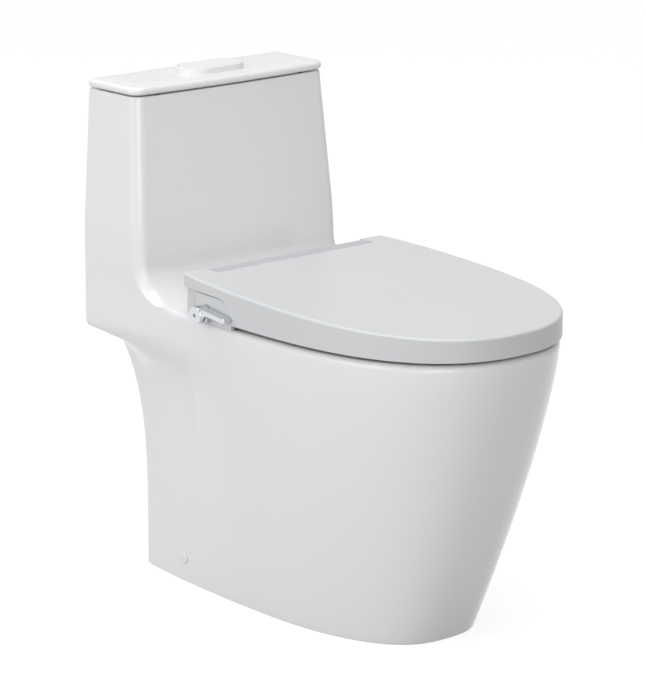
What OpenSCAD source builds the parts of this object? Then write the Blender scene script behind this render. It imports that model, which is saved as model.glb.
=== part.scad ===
// One-piece skirted toilet with a non-electric bidet seat.
// Millimetres, +Z up, front towards -Y. The origin is the centre of the floor outlet, on the floor.

/* [Whole body] */
// Distance from the flat back of the cistern to the centre of the floor outlet
outlet_setback = 285; // [275:1:300]
// Height of the flat china rim and deck above the floor
rim_z = 409; // [400:1:425]
// Distance from the cistern's back to the front of the rim
rim_front = 676.5; // [660:0.5:690]
// Thickness of the cast china walls
china_wall = 12; // [9:0.5:14]
// Thickness of the rim and deck
deck_t = 15; // [12:0.5:18]
// Radius on the outer edge of the rim
rim_edge_r = 8; // [4:0.5:10]

/* [Skirt] */
// Width of the foot at its back
foot_rear_w = 186; // [170:1:210]
// Greatest width of the foot
foot_w = 238; // [220:1:260]
// Share of the foot's length at which it is widest
foot_wide_at = 0.6; // [0.5:0.01:0.65]
// Distance from the cistern's back to the back of the foot
foot_back = 25; // [20:1:35]
// Distance from the cistern's back to the front of the foot
foot_front = 549; // [530:1:560]
// How late the front draws in towards the foot, where 1 is a straight slope
front_draw = 1.31; // [1.1:0.01:1.5]
// Width of the service opening in the back of the skirt
service_w = 120; // [90:1:130]
// Height of the service opening in the back of the skirt
service_h = 250; // [200:1:280]

/* [Cistern] */
// Height of the cistern's top edge above the floor
cistern_top = 685; // [670:1:700]
// Width of the cistern at its top edge
cistern_top_w = 337; // [330:1:342]
// Width of the cistern where it meets the deck
cistern_low_w = 359; // [354:1:362]
// Depth of the cistern at its top edge
cistern_top_d = 110.5; // [108:0.5:116]
// Depth of the cistern just above the sweep into the deck
cistern_low_d = 129.5; // [126:0.5:134]
// Height of the cistern's underside above the floor
cistern_under = 342; // [335:1:350]
// Height of the water chamber's floor above the floor
chamber_floor = 378; // [374:1:384]
// Radius of the sweep from the cistern's front into the deck
sweep_r = 52; // [40:1:60]
// Radius of the cistern's front corners
front_corner_r = 18; // [14:1:24]

/* [Bowl] */
// Distance from the cistern's back to the middle of the bowl opening
bowl_mid = 454; // [448:1:460]
// Length of the bowl opening
bowl_len = 356; // [340:1:360]
// Width of the bowl opening
bowl_w = 260; // [245:1:265]
// Height of the bowl's lowest point above the floor
bowl_bottom = 150; // [146:1:156]
// Inner radius of the trap
trap_r = 26; // [22:0.5:28]
// Radius of the bend over the weir
weir_bend_r = 35.5; // [34:0.5:38]

/* [Cistern lid] */
// Thickness of the cistern lid at its edge
tank_lid_t = 11; // [9:0.5:14]
// Rise of the lid's crown above its edge
tank_lid_crown = 1.5; // [0.5:0.5:3]
// How far the lid stands out past the cistern on the sides and front
tank_lid_over = 2; // [1:0.5:4]
// Gap between the cistern's edge and the lid
tank_lid_gap = 2; // [1.5:0.5:3]

/* [Flush plate] */
// Distance of the flush plate's middle from the centre plane
plate_x = 0; // [-6:1:6]
// Length of the raised flush plate
plate_l = 104; // [96:1:110]
// Width of the raised flush plate
plate_w = 56; // [50:1:58]
// Height of the flush plate above the lid
plate_rise = 7; // [6:0.5:9]
// Radius of the threaded barrel under the plate
barrel_r = 18; // [17:0.5:20]
// Distance each button goes down
button_travel = 3.5; // [3:0.5:4]
// Radius of the push rods
rod_r = 3; // [2.5:0.1:3.2]

/* [Flush valve] */
// Radius of the cage round the canister
cage_r = 38; // [36:0.5:39]
// Length of the cage
cage_h = 173; // [160:1:180]
// Radius of the overflow pipe
pipe_r = 14; // [12:0.5:15]
// Height that the canister lifts
canister_lift = 24; // [20:1:26]
// Radius of the hole in the chamber's floor
outlet_hole_r = 31; // [29:0.5:32]

/* [Fill valve] */
// Distance of the fill valve from the centre plane
fill_x = -92; // [-96:1:-90]
// Distance of both valves from the cistern's back
valve_d = 58; // [56:1:60]
// Radius of the threaded shank, G 1/2
shank_r = 10.45; // [10.4:0.05:10.5]
// Radius of the float
float_r = 26; // [22:0.5:27]
// Distance the float rises as the cistern fills
float_rise = 8; // [6:1:8]

/* [Seat lid] */
// Distance from the cistern's back to the back edge of the seat lid
lid_back = 214.4; // [212:0.2:218]
// Length of the seat lid
lid_l = 464.7; // [455:0.1:470]
// Greatest width of the seat lid
lid_w = 378; // [374:1:384]
// Width of the seat lid at its back edge
lid_rear_w = 356; // [352:1:360]
// Height of the lid's upper face at the back
lid_top_rear = 467; // [465:0.5:470]
// Height of the lid's upper face at the front
lid_top_front = 443.4; // [440:0.2:447]
// Height of the lid's lower edge at the back
lid_low_rear = 417; // [415:0.5:420]
// Height of the lid's lower edge at the front
lid_low_front = 413.2; // [412:0.2:415]
// Thickness of the lid's walls
lid_wall = 3.5; // [3:0.1:4]
// Distance from the lid's side at its back edge to the notch for the hinge
notch_in = 39.5; // [38:0.5:42]

/* [Seat ring] */
// Height of the seat ring's underside above the rim
seat_lift = 3; // [2.5:0.1:4]
// Greatest thickness of the seat ring
seat_t = 27; // [22:0.5:28]
// Width of the seat's opening
seat_hole_w = 226; // [215:1:235]
// Distance from the cistern's back to the back of the seat's opening
seat_hole_back = 352; // [348:1:358]
// Distance from the cistern's back to the front of the seat's opening
seat_hole_front = 622; // [612:1:626]

/* [Seat unit] */
// Distance from the cistern's back to the hinge axis
hinge_d = 228; // [226:0.5:230]
// Height of the hinge axis above the rim
hinge_rise = 38; // [37:0.5:39]
// Radius of the hinge pins
pin_r = 4; // [3:0.5:4.5]
// Gap between the unit's top cover and the sides of the lid's notch
cover_gap = 1; // [1:0.1:2.5]
// Wall thickness of the unit's shells
shell_t = 2.5; // [2:0.1:3]
// Distance from the cistern's back to the unit's front face
unit_front = 301; // [296:1:303]
// Distance between the two seat bolts
bolt_spacing = 155; // [140:1:160]
// Distance from the cistern's back to the seat bolts
bolt_d = 251; // [246:1:256]
// Distance between the lid's outline and the cheek inside it
cheek_inset = 4.5; // [4.2:0.1:5]

/* [Lever] */
// Distance from the cistern's back to the lever's axis
lever_d = 272; // [266:1:274]
// Height of the lever's axis above the rim
lever_rise = 13.5; // [12.5:0.5:15]
// Radius of the lever's hub
hub_r = 12; // [10:0.5:12.5]
// Length of the lever's hub
hub_l = 23; // [22.5:0.5:25]
// Reach of the lever's arm from its axis
arm_l = 58; // [50:1:64]
// Width of the lever's arm
arm_w = 13.5; // [10:0.5:14]

/* [Nozzles] */
// Slope of the nozzles below the horizontal
nozzle_slope = 25; // [22:1:27]
// Radius of each nozzle
nozzle_r = 5; // [4.5:0.1:5.2]
// Distance between the two nozzles
nozzle_pitch = 18; // [16:0.5:20]
// Distance each nozzle runs out
nozzle_travel = 65; // [50:1:68]
// Distance from the cistern's back to the parked nozzle tips
nozzle_tip_d = 312; // [308:1:314]

/* [Fixings] */
// Distance from the cistern's back to the side fixings
side_fix_d = 132; // [120:1:145]
// Height of the side fixings above the floor
side_fix_z = 36; // [30:1:42]
// Radius of the fixing holes in the china
side_hole_r = 6; // [5:0.5:7]
// Distance between the two floor holes of one bracket
bracket_pitch = 50; // [40:1:60]

/* [Hidden] */

$fn = 64;
// Steps along one side of an outline, from the back to the front tip
side_steps = 22;
// Sides of the swept passages
tube_sides = 20;
// Play between a turning or sliding fit and its bore
run_fit = 0.06;
// Space left between pieces that only lie close
near = 0.3;
// Overshoot of a cut past the face that it opens
past = 1;

function at(d) = outlet_setback - d;
function mix(a, b, f) = a + (b - a) * f;
function unit(v) = min(max(v, 0), 1);
function ease(v) = let (c = unit(v)) c * c * (3 - 2 * c);
function ahead(t) = 1 - (1 - t) * (1 - t);

// Half width of an egg-shaped outline at share s of its length
function egg_w(s, rear_w, wide_w, wide_at, p, q) =
    s < wide_at
        ? wide_w / 2 - (wide_w - rear_w) / 2 * pow((wide_at - s) / wide_at, 2)
        : wide_w / 2 * pow(max(1 - pow((s - wide_at) / (1 - wide_at), p), 0), 1 / q);

// A half outline is a list of [half width, distance from the back], from the centre of the back to the front tip.
// loop() turns it into a closed, anticlockwise list of points at height z.
function loop(half, z) = concat(
    [for (p = half) [-p[0], at(p[1]), z]],
    [for (i = [len(half) - 2 : -1 : 1]) [half[i][0], at(half[i][1]), z]]);

// Half outline drawn in by a distance that may differ from point to point
function drawn_in(half, by) = [for (i = [0 : len(half) - 1])
    let (a = half[max(i - 1, 0)], b = half[min(i + 1, len(half) - 1)],
         dw = b[0] - a[0], dd = b[1] - a[1], l = norm([dw, dd]),
         end = i == 0 || i == len(half) - 1)
    end ? [0, half[i][1] + (i == 0 ? by[i] : -by[i])]
        : [half[i][0] - by[i] * dd / l, half[i][1] + by[i] * dw / l]];

// Closed skin through rings that all have the same number of points
module loft(rings) {
    n = len(rings[0]);
    m = len(rings);
    polyhedron(
        points = [for (r = rings) each r],
        faces = concat(
            [[for (i = [0 : n - 1]) i]],
            [for (k = [0 : m - 2], i = [0 : n - 1])
                let (a = k * n + i, b = k * n + (i + 1) % n)
                each [[a, a + n, b], [b, a + n, b + n]]],
            [[for (i = [n - 1 : -1 : 0]) (m - 1) * n + i]]));
}

// Tube of radius r along a path in the centre plane, given as [distance from the back, height]
module plane_tube(path, r) {
    last = len(path) - 1;
    loft([for (k = [0 : last])
        let (a = path[max(k - 1, 0)], b = path[min(k + 1, last)], t = (b - a) / norm(b - a))
        [for (i = [0 : tube_sides - 1])
            let (f = -i * 360 / tube_sides, u = r * cos(f))
            [r * sin(f), at(path[k][0] - t[1] * u), path[k][1] + t[0] * u]]]);
}

// Coil of round wire standing on z = 0
module coil(r, wire, turns, height) {
    per_turn = 10;
    sides = 6;
    steps = turns * per_turn;
    loft([for (k = [0 : steps])
        let (f = k * 360 / per_turn)
        [for (i = [0 : sides - 1])
            let (g = -i * 360 / sides, rr = r + wire * cos(g))
            [rr * cos(f), rr * sin(f), wire + (height - 2 * wire) * k / steps + wire * sin(g)]]]);
}

module tube(r, bore, h) {
    difference() {
        cylinder(r = r, h = h);
        translate([0, 0, -past]) cylinder(r = bore, h = h + 2 * past);
    }
}

// Axis of the next shape turned from +Z to +X
module along_x() { rotate([0, 90, 0]) children(); }

// Copy on both sides of the centre plane
module both_sides() {
    children();
    mirror([1, 0, 0]) children();
}

// Solid between x0 and x1 with a side profile given as [distance from the back, height]
module side_plate(x0, x1, profile) {
    translate([x0, outlet_setback, 0]) rotate([90, 0, 90])
        linear_extrude(x1 - x0) polygon([for (p = profile) [-p[0], p[1]]]);
}

// Seat outline
lid_front = lid_back + lid_l;
function lid_half_w(d) = egg_w(unit((d - lid_back) / lid_l), lid_rear_w, lid_w, 0.3, 2.8, 2.3);

notch_x = lid_rear_w / 2 - notch_in;
cover_x = notch_x - cover_gap;

// China skirt and rim
rim_over = 2.5;
draw_top = rim_z - 9;
rear_draw = 0.51;
rear_draw_power = 3.87;
back_corner_r = 8;
function rim_w(d) = d < lid_back
    ? mix(cistern_low_w / 2, lid_rear_w / 2 - rim_over, d / lid_back)
    : egg_w(unit((d - lid_back) / (rim_front - lid_back)), lid_rear_w - 2 * rim_over,
            lid_w - 2 * rim_over, 0.3, 2.8, 2.3);
function foot_half_w(s) = egg_w(s, foot_rear_w, foot_w, foot_wide_at, 2.06, 2.8);
function rear_share(z) = z > cistern_under + 6 ? 0
    : z > cistern_under ? mix(1 - rear_draw, 0, ease((z - cistern_under) / 6))
    : 1 - rear_draw * pow(max(z, 0) / cistern_under, rear_draw_power);
function front_share(z) = pow(max(draw_top - z, 0) / draw_top, front_draw);
function skirt_point(t, z, wall) =
    let (s = ahead(t), share = mix(rear_share(z), front_share(z), ease(t / 0.3)),
         w = mix(t == 1 ? 0 : rim_w(rim_front * s), t == 1 ? 0 : foot_half_w(s), share),
         d = mix(rim_front * s, mix(foot_back, foot_front, s), share))
    [max(w - wall, 0), mix(d + wall, d - wall, s)];
function skirt_half(z, wall) =
    let (c = skirt_point(0, z, wall), r = back_corner_r)
    concat([[0, c[1]]],
           [for (f = [0, 45, 90]) [c[0] - r + r * sin(f), c[1] + r - r * cos(f)]],
           [for (i = [1 : side_steps]) skirt_point(i / side_steps, z, wall)]);
// Half width of the skirt at one distance from the back and one height
function skirt_w(d, z) = lookup(d, [for (i = [0 : side_steps])
    let (p = skirt_point(i / side_steps, z, 0)) [p[1], p[0]]]);

// China cistern
ledge = 0.15;
taper_z = 500;
front_bow = 5;
function cistern_w(z) = mix(cistern_low_w, cistern_top_w, unit((z - taper_z) / (cistern_top - taper_z)));
function cistern_d(z) = mix(cistern_low_d, cistern_top_d,
    unit((z - rim_z - sweep_r) / (cistern_top - rim_z - sweep_r))) - front_bow;
function sweep(z) = sweep_r * (1 - sqrt(max(1 - pow(unit((rim_z + sweep_r - z) / sweep_r), 2), 0)));
function cistern_half(w, d0, d1, rear_r, front_r) = concat(
    [[0, d0]],
    [for (f = [0, 45, 90]) [w - rear_r + rear_r * sin(f), d0 + rear_r - rear_r * cos(f)]],
    [for (i = [1 : 5]) [w, mix(d0 + rear_r, d1 - front_r, i / 6)]],
    [for (i = [0 : 6]) [w - front_r + front_r * cos(i * 15), d1 - front_r + front_r * sin(i * 15)]],
    [for (i = [1 : side_steps - 12]) let (x = (w - front_r) * (1 - i / (side_steps - 12)))
        [x, d1 + front_bow * (1 - pow(x / (w - front_r), 2))]]);

// Bowl: [height above its lowest point as a share, length factor, width factor, shift to the back]
bowl_rings = [[0, 0.22, 0.26, 28], [0.06, 0.29, 0.34, 26], [0.18, 0.38, 0.43, 22], [0.32, 0.53, 0.57, 15],
              [0.46, 0.69, 0.72, 9], [0.62, 0.84, 0.86, 4], [0.78, 0.93, 0.95, 1], [0.92, 0.985, 0.99, 0]];
bowl_steps = 18;
function bowl_half(l, w, mid) = [for (i = [0 : bowl_steps])
    let (f = i * 180 / bowl_steps) [w / 2 * pow(sin(f), 0.9), mid - l / 2 * cos(f)]];
function bowl_loops(grow, top) = concat(
    [for (r = bowl_rings) loop(bowl_half(bowl_len * r[1] + 2 * grow, bowl_w * r[2] + 2 * grow, bowl_mid - r[3]),
        mix(bowl_bottom, rim_z, r[0]) - grow)],
    [loop(bowl_half(bowl_len + 2 * grow, bowl_w + 2 * grow, bowl_mid), top)]);

// Trap: out of the bowl's foot to the back, up to the weir, over it and down to the floor
trap_low = bowl_bottom + trap_r;
trap_rise = 75;
trap_turn_r = 40;
trap_start = bowl_mid - 22;
trap_climb = 45;
turn_steps = 6;
trap_turn = [outlet_setback + weir_bend_r * (1 + sin(trap_rise)) + trap_climb * cos(trap_rise)
             + trap_turn_r * sin(trap_rise), trap_low];
climb_from = trap_turn + trap_turn_r * [-sin(trap_rise), 1 - cos(trap_rise)];
climb_to = climb_from + trap_climb * [-cos(trap_rise), sin(trap_rise)];
weir_mid = climb_to - weir_bend_r * [sin(trap_rise), cos(trap_rise)];
function trap_path(z_end) = concat(
    [[trap_start, trap_low], [mix(trap_start, trap_turn[0], 0.5), trap_low]],
    [for (i = [0 : turn_steps]) let (f = i * trap_rise / turn_steps)
        trap_turn + trap_turn_r * [-sin(f), 1 - cos(f)]],
    [for (i = [0 : 2 * turn_steps]) let (f = trap_rise - i * (trap_rise + 90) / (2 * turn_steps))
        weir_mid + weir_bend_r * [sin(f), cos(f)]],
    [[outlet_setback, mix(weir_mid[1], z_end, 0.5)], [outlet_setback, z_end]]);
horn_end = 12;
horn_r = trap_r + 11;

// Flush water way from the cistern's outlet to the back of the bowl
way_r = 24;
way_h = 20;
way_z = chamber_floor - 34;
way_to = bowl_mid - bowl_len / 2 + 12;
slab_under = chamber_floor - 16;

// The casting is kept as three pieces that meet at flat faces
cistern_joint_z = rim_z + 3;
bowl_joint_d = bowl_mid - 76;
casting_w = lid_w + 40;
casting_top = cistern_top + 20;

// Flush valve
valve_x = plate_x;
gasket_t = 3;
base_t = 6;
seat_edge_h = 4;
base_z = chamber_floor + gasket_t;
cage_z = base_z + base_t;
seal_z = cage_z + seat_edge_h;
seal_t = 3;
canister_h = 120;
canister_r = cage_r - 2.5 - 0.6;
pipe_top = cage_z + cage_h + 46;
head_z = cage_z + cage_h;
head_top = pipe_top + canister_lift + 10;
pad_h = 6;
rod_end = head_top + pad_h + button_travel + 0.3;
screw_at = cage_r - 1;

// Fill valve
fill_base_z = chamber_floor + 2.5;
fill_top = 600;
shank_end = slab_under - 37;
nut_h = 8;
float_z = 520 - float_rise;
float_h = 66;
arm_z = fill_top + 50;
arm_pivot_x = 8;
float_rod_x = -21;
nipple_r = 2.2;
refill_r = 3.4;

// Cistern lid and flush plate
tank_lid_z = cistern_top + tank_lid_gap;
tank_lid_edge_r = 5;
tank_lid_top = tank_lid_z + tank_lid_t + tank_lid_crown;
plate_d = valve_d;
plate_top = tank_lid_top + plate_rise;
plate_base_t = 1.2;
plate_rim_t = 2;
button_t = plate_rise - plate_base_t - button_travel - 0.3;
button_gap = 0.5;
button_split = 4;
rod_x = 10;
barrel_bottom = tank_lid_z - 24;
spring_r = 4.5;
spring_wire = 0.5;
spring_z = barrel_bottom + 2;
spring_h = 22;

// Seat unit
hinge_z = rim_z + hinge_rise;
hinge_y = at(hinge_d);
plate_t = 4;
tray_floor = rim_z + plate_t + near;
lever_z = rim_z + lever_rise;
lever_y = at(lever_d);
cheek_end = 326;
cheek_r = 28;
cheek_back = lid_back + 5.6;
cheek_top = hinge_z;
cheek_t = 3;
tray_t = 5;
spindle_r = 3;
lug_r = 9.5;
lid_lug = [notch_x + 0.2, notch_x + 10.4];
seat_lug = [notch_x + 11, notch_x + 22];
cover_top = lid_top_rear - 4;
hub_x = lid_half_w(lever_d + hub_r) - cheek_inset + 0.4;
arm_x = lid_w / 2 + 0.5;

// Nozzles
nozzle_tip_z = rim_z - 6.5;
nozzle_l = 88;
carrier_half_h = 8;
carrier_half_w = nozzle_pitch / 2 + nozzle_r + 9;
carrier_front = 11;
carrier_l = 84;
nozzle_bore_r = 3.2;

// Side fixings
fix_x = skirt_w(side_fix_d, side_fix_z);
cap_r = 9;
cap_yaw = atan((skirt_w(side_fix_d + cap_r, side_fix_z) - skirt_w(side_fix_d - cap_r, side_fix_z)) / (2 * cap_r));
cap_tilt = atan((skirt_w(side_fix_d, side_fix_z + cap_r) - skirt_w(side_fix_d, side_fix_z - cap_r)) / (2 * cap_r));
block_x = fix_x - china_wall - 7;
block_t = 12;

module china_skin() {
    edge = [for (f = [0, 30, 60, 90]) [rim_edge_r * (1 - cos(f)), rim_edge_r * (1 - sin(f))]];
    loft(concat(
        [loop(skirt_half(0, 2), 0)],
        [for (z = [3, 35, 80, 125, 170, 210, 245, 275, 298, 316, 330, cistern_under]) loop(skirt_half(z, 0), z)],
        [for (z = [1.5, 3, 4.5, 6, 32]) loop(skirt_half(cistern_under + z, 0), cistern_under + z)],
        [for (e = edge)
            let (z = rim_z - e[1], h = skirt_half(z, 0))
            loop(drawn_in(h, [for (p = h) e[0] * ease((p[1] - 140) / 60)]), z)],
        [for (f = [0, 4, 10, 18, 30, sweep_r, taper_z - rim_z, cistern_top - rim_z])
            let (z = rim_z + f)
            loop(cistern_half(cistern_w(z) / 2 - ledge, ledge, cistern_d(z) + sweep(z),
                              back_corner_r, front_corner_r), z)]));
}

module chamber() {
    loft([for (z = [chamber_floor, chamber_floor + 60, taper_z, mix(taper_z, cistern_top, 0.5), cistern_top + past])
        loop(cistern_half(cistern_w(z) / 2 - china_wall, china_wall, cistern_d(max(z, rim_z + sweep_r)) - china_wall,
                          14, max(front_corner_r - china_wall, 6)), z)]);
}

// Hollow inside the skirt, open to the floor
module skirt_hollow() {
    difference() {
        loft([for (z = [-past, 40, 90, 150, 210, 260, 300, 330, cistern_under - china_wall, cistern_under + 20,
                        rim_z - deck_t])
            loop(skirt_half(z, china_wall), z)]);
        translate([-cistern_low_w, at(cistern_low_d + 14), slab_under]) cube([2 * cistern_low_w, cistern_low_d + 40, 100]);
        translate([-cistern_low_w, at(foot_back + 11), cistern_under - 20])
            cube([2 * cistern_low_w, foot_back + 40, 100]);
    }
}

module flush_way(grow) {
    hull() {
        translate([valve_x, at(valve_d), way_z - grow]) cylinder(r = way_r + 6 + grow, h = way_h + 2 * grow, $fn = 32);
        translate([0, at(way_to), way_z - grow]) cylinder(r = way_r + grow, h = way_h + 2 * grow, $fn = 32);
    }
}

module service_opening() {
    r = service_w / 2;
    hull() {
        translate([0, at(-past), service_h - r]) rotate([90, 0, 0]) cylinder(r = r, h = foot_back + 60, $fn = 32);
        translate([-r, at(foot_back + 60), -past]) cube([service_w, foot_back + 60 + past, past]);
    }
}

// Room in the rim for the nozzles, their guard and their carrier
module nozzle_room() {
    w = carrier_half_w + 1;
    nozzle_frame() {
        translate([-w, -carrier_half_h, -carrier_front - carrier_l])
            cube([2 * w, 2 * carrier_half_h + 1, carrier_l + carrier_front + nozzle_travel + 6]);
        translate([-w, -carrier_half_h - 6, -carrier_front - 1]) cube([2 * w, 10, carrier_front + nozzle_travel]);
    }
}

module china_casting() {
    difference() {
        union() {
            difference() {
                china_skin();
                skirt_hollow();
                service_opening();
            }
            loft(bowl_loops(china_wall - 2, rim_z - deck_t / 2));
            plane_tube(trap_path(horn_end), horn_r);
            flush_way(8);
        }
        chamber();
        loft(bowl_loops(0, rim_z + past));
        nozzle_room();
        plane_tube(trap_path(-past), trap_r);
        flush_way(0);
        for (s = [-1, 1]) {
            translate([s * bolt_spacing / 2, at(bolt_d), rim_z - deck_t - past])
                cylinder(r = 8, h = deck_t + 2 * past, $fn = 32);
            translate([s * (fix_x - china_wall - 4), at(side_fix_d), side_fix_z]) rotate([0, s * 90, 0])
                cylinder(r = side_hole_r, h = china_wall + 10, $fn = 32);
            translate([valve_x + s * screw_at, at(valve_d), slab_under + 3]) cylinder(r = 2.7, h = 20, $fn = 24);
        }
    }
}

module cistern_block() {
    translate([-casting_w / 2, at(rim_front + 20), cistern_joint_z])
        cube([casting_w, rim_front + 40, casting_top - cistern_joint_z]);
}

module bowl_block() {
    translate([-casting_w / 2, at(rim_front + 20), -20]) cube([casting_w, rim_front + 20 - bowl_joint_d, rim_z + 40]);
}

// resize() without a new size keeps each piece as it is and makes it one mesh
module china_cistern() {
    color("white") resize([0, 0, 0]) intersection() {
        china_casting();
        cistern_block();
    }
}

module china_pedestal() {
    color("white") difference() {
        resize([0, 0, 0]) difference() {
            china_casting();
            cistern_block();
            bowl_block();
        }
        translate([valve_x, at(valve_d), way_z + way_h / 2]) cylinder(r = outlet_hole_r, h = 60);
        translate([fill_x, at(valve_d), slab_under - past]) cylinder(r = shank_r + 1, h = 40);
    }
}

module china_bowl() {
    color("white") resize([0, 0, 0]) intersection() {
        china_casting();
        bowl_block();
    }
}

module outlet_seal() {
    color("dimgray") difference() {
        union() {
            cylinder(r = 62, h = horn_end);
            cylinder(r = 48, h = 30);
        }
        translate([0, 0, -past]) cylinder(r = trap_r + 1, h = 40);
        translate([0, 0, horn_end]) cylinder(r = horn_r + near, h = 40);
    }
}

module one_bracket() {
    difference() {
        union() {
            translate([block_x - 46, at(side_fix_d + 34), 0]) cube([42, 68, 3]);
            translate([block_x - block_t, at(side_fix_d + 16), 0]) cube([block_t, 32, side_fix_z + 14]);
        }
        translate([block_x - 60, at(side_fix_d), side_fix_z]) along_x() cylinder(r = 2.5, h = 80);
        for (s = [-1, 1])
            translate([block_x - 30, at(side_fix_d) + s * bracket_pitch / 2, -past]) cylinder(r = 3.5, h = 10);
    }
}

module floor_brackets() { color("silver") both_sides() one_bracket(); }

module side_screws() {
    color("silver") both_sides() {
        translate([block_x - block_t + 1, at(side_fix_d), side_fix_z]) along_x() cylinder(r = 2.5, h = fix_x - block_x + 8);
        translate([fix_x - 4, at(side_fix_d), side_fix_z]) along_x() cylinder(r1 = 2.5, r2 = 4.6, h = 2);
    }
}

module side_bushes() {
    color("gainsboro") both_sides() translate([block_x + near, at(side_fix_d), side_fix_z]) along_x() difference() {
        cylinder(r = side_hole_r - 0.1, h = fix_x - 2 - block_x - near);
        translate([0, 0, -past]) cylinder(r = 2.5, h = 60);
        translate([0, 0, fix_x - 4 - block_x - near]) cylinder(r1 = 2.5, r2 = 4.6, h = 2);
    }
}

module side_caps() {
    color("white") both_sides() translate([fix_x, at(side_fix_d), side_fix_z]) {
        rotate([0, cap_tilt, cap_yaw]) along_x()
            translate([0, 0, 0.35]) rotate_extrude() polygon([[0, 0], [cap_r, 0], [cap_r, 0.6], [7, 1.8], [0, 2.4]]);
        along_x() difference() {
            translate([0, 0, -1.9]) cylinder(r = side_hole_r - 0.6, h = 3.2);
            translate([0, 0, -3]) cylinder(r = 3.2, h = 3);
        }
    }
}

module fill_valve_body() {
    color("ivory") translate([fill_x, at(valve_d), 0]) difference() {
        union() {
            translate([0, 0, shank_end]) cylinder(r = shank_r, h = fill_base_z - shank_end);
            translate([0, 0, fill_base_z]) cylinder(r = 18, h = 4);
            translate([0, 0, fill_base_z]) cylinder(r = 11, h = fill_top - fill_base_z);
        }
        translate([0, 0, shank_end - past]) cylinder(r = 7, h = fill_top - shank_end - 6);
        translate([0, 0, slab_under - nut_h - 2]) tube(shank_r + 1, shank_r - 0.8, 1.5);
    }
}

module fill_valve_washer() {
    color("dimgray") translate([fill_x, at(valve_d), chamber_floor]) tube(20, shank_r + 0.1, fill_base_z - chamber_floor);
}

module fill_valve_nut() {
    color("ivory") translate([fill_x, at(valve_d), slab_under - nut_h]) difference() {
        union() {
            cylinder(r = 15, h = nut_h, $fn = 6);
            translate([0, 0, nut_h - 2]) cylinder(r = 17, h = 2);
        }
        translate([0, 0, -past]) cylinder(r = shank_r + 0.05, h = nut_h + 2 * past);
    }
}

module fill_valve_cap() {
    color("ivory") translate([fill_x, at(valve_d), fill_top]) union() {
        rotate_extrude() polygon([[0, 0], [15, 0], [15, 14], [17, 16], [17, 34], [14, 38], [0, 38]]);
        translate([12, 0, 8]) along_x() cylinder(r = nipple_r, h = 11);
        for (s = [-1, 1]) difference() {
            translate([arm_pivot_x - 5, s * 6 - 2, 37]) cube([10, 4, 20]);
            translate([arm_pivot_x, 0, arm_z - fill_top]) rotate([90, 0, 0]) cylinder(r = 1.5 + run_fit, h = 40, center = true);
        }
    }
}

// Soft tube from the cap's nipple to the nipple on the tower head, with a quarter turn at each end
refill_z = fill_top + 8;
refill_low = head_z + 22;
refill_bend = 10;
module refill_run(r) {
    from = fill_x + 17;
    to = valve_x - 26 - 2;
    mid_x = (from + to) / 2;
    translate([from, 0, refill_z]) along_x() cylinder(r = r, h = mid_x - refill_bend - from);
    translate([mid_x - refill_bend, 0, refill_z - refill_bend]) rotate([90, 0, 0])
        rotate_extrude(angle = 90) translate([refill_bend, 0]) circle(r);
    translate([mid_x, 0, refill_low + refill_bend]) cylinder(r = r, h = refill_z - refill_low - 2 * refill_bend);
    translate([mid_x + refill_bend, 0, refill_low + refill_bend]) rotate([90, 0, 0]) rotate([0, 0, 180])
        rotate_extrude(angle = 90) translate([refill_bend, 0]) circle(r);
    translate([mid_x + refill_bend, 0, refill_low]) along_x() cylinder(r = r, h = to - mid_x - refill_bend);
}
module refill_tube() {
    color("white") translate([0, at(valve_d), 0]) difference() {
        refill_run(refill_r);
        refill_run(nipple_r + 0.05);
        translate([fill_x + 16, 0, refill_z]) along_x() cylinder(r = nipple_r + 0.05, h = 8);
        translate([valve_x - 26 - 10, 0, refill_low]) along_x() cylinder(r = nipple_r + 0.05, h = 10);
    }
}

module fill_float() {
    color("lightgray") translate([fill_x, at(valve_d), 0]) {
        translate([0, 0, float_z]) difference() {
            tube(float_r, 11 + near, float_h);
            translate([0, 0, -past]) tube(float_r - 2, 14, float_h - 2);
        }
        translate([float_rod_x, 0, float_z + float_h - 3]) cylinder(r = 1.5, h = arm_z - 2 - near - float_z - float_h + 3);
    }
}

// Arm that closes the valve when the float's rod lifts it
module float_arm() {
    color("ivory") translate([fill_x + arm_pivot_x, at(valve_d), arm_z]) {
        rotate([90, 0, 0]) cylinder(r = 1.5, h = 18, center = true);
        rotate([90, 0, 0]) cylinder(r = 4, h = 7.6, center = true);
        translate([float_rod_x - arm_pivot_x - 4, -3, -2]) cube([arm_pivot_x - float_rod_x + 4, 6, 4]);
    }
}

module flush_valve_base() {
    color("ivory") translate([valve_x, at(valve_d), 0]) difference() {
        union() {
            translate([0, 0, slab_under]) cylinder(r = outlet_hole_r - 0.5, h = base_z - slab_under);
            translate([0, 0, base_z]) cylinder(r = 43, h = base_t);
            translate([0, 0, cage_z]) cylinder(r = 30, h = seat_edge_h);
        }
        translate([0, 0, slab_under - past]) cylinder(r = 26, h = 60);
        for (s = [-1, 1]) translate([s * screw_at, 0, base_z - past]) cylinder(r = 2.6, h = 20);
    }
}

module flush_valve_gasket() {
    color("dimgray") translate([valve_x, at(valve_d), chamber_floor]) difference() {
        tube(43, outlet_hole_r, gasket_t);
        for (s = [-1, 1]) translate([s * screw_at, 0, -past]) cylinder(r = 2.6, h = 20);
    }
}

module flush_valve_screws() {
    color("silver") for (s = [-1, 1]) translate([valve_x + s * screw_at, at(valve_d), slab_under + 4]) {
        cylinder(r = 2.5, h = cage_z - slab_under - 4);
        translate([0, 0, cage_z - slab_under - 4]) cylinder(r = 4.2, h = 3);
    }
}

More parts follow.
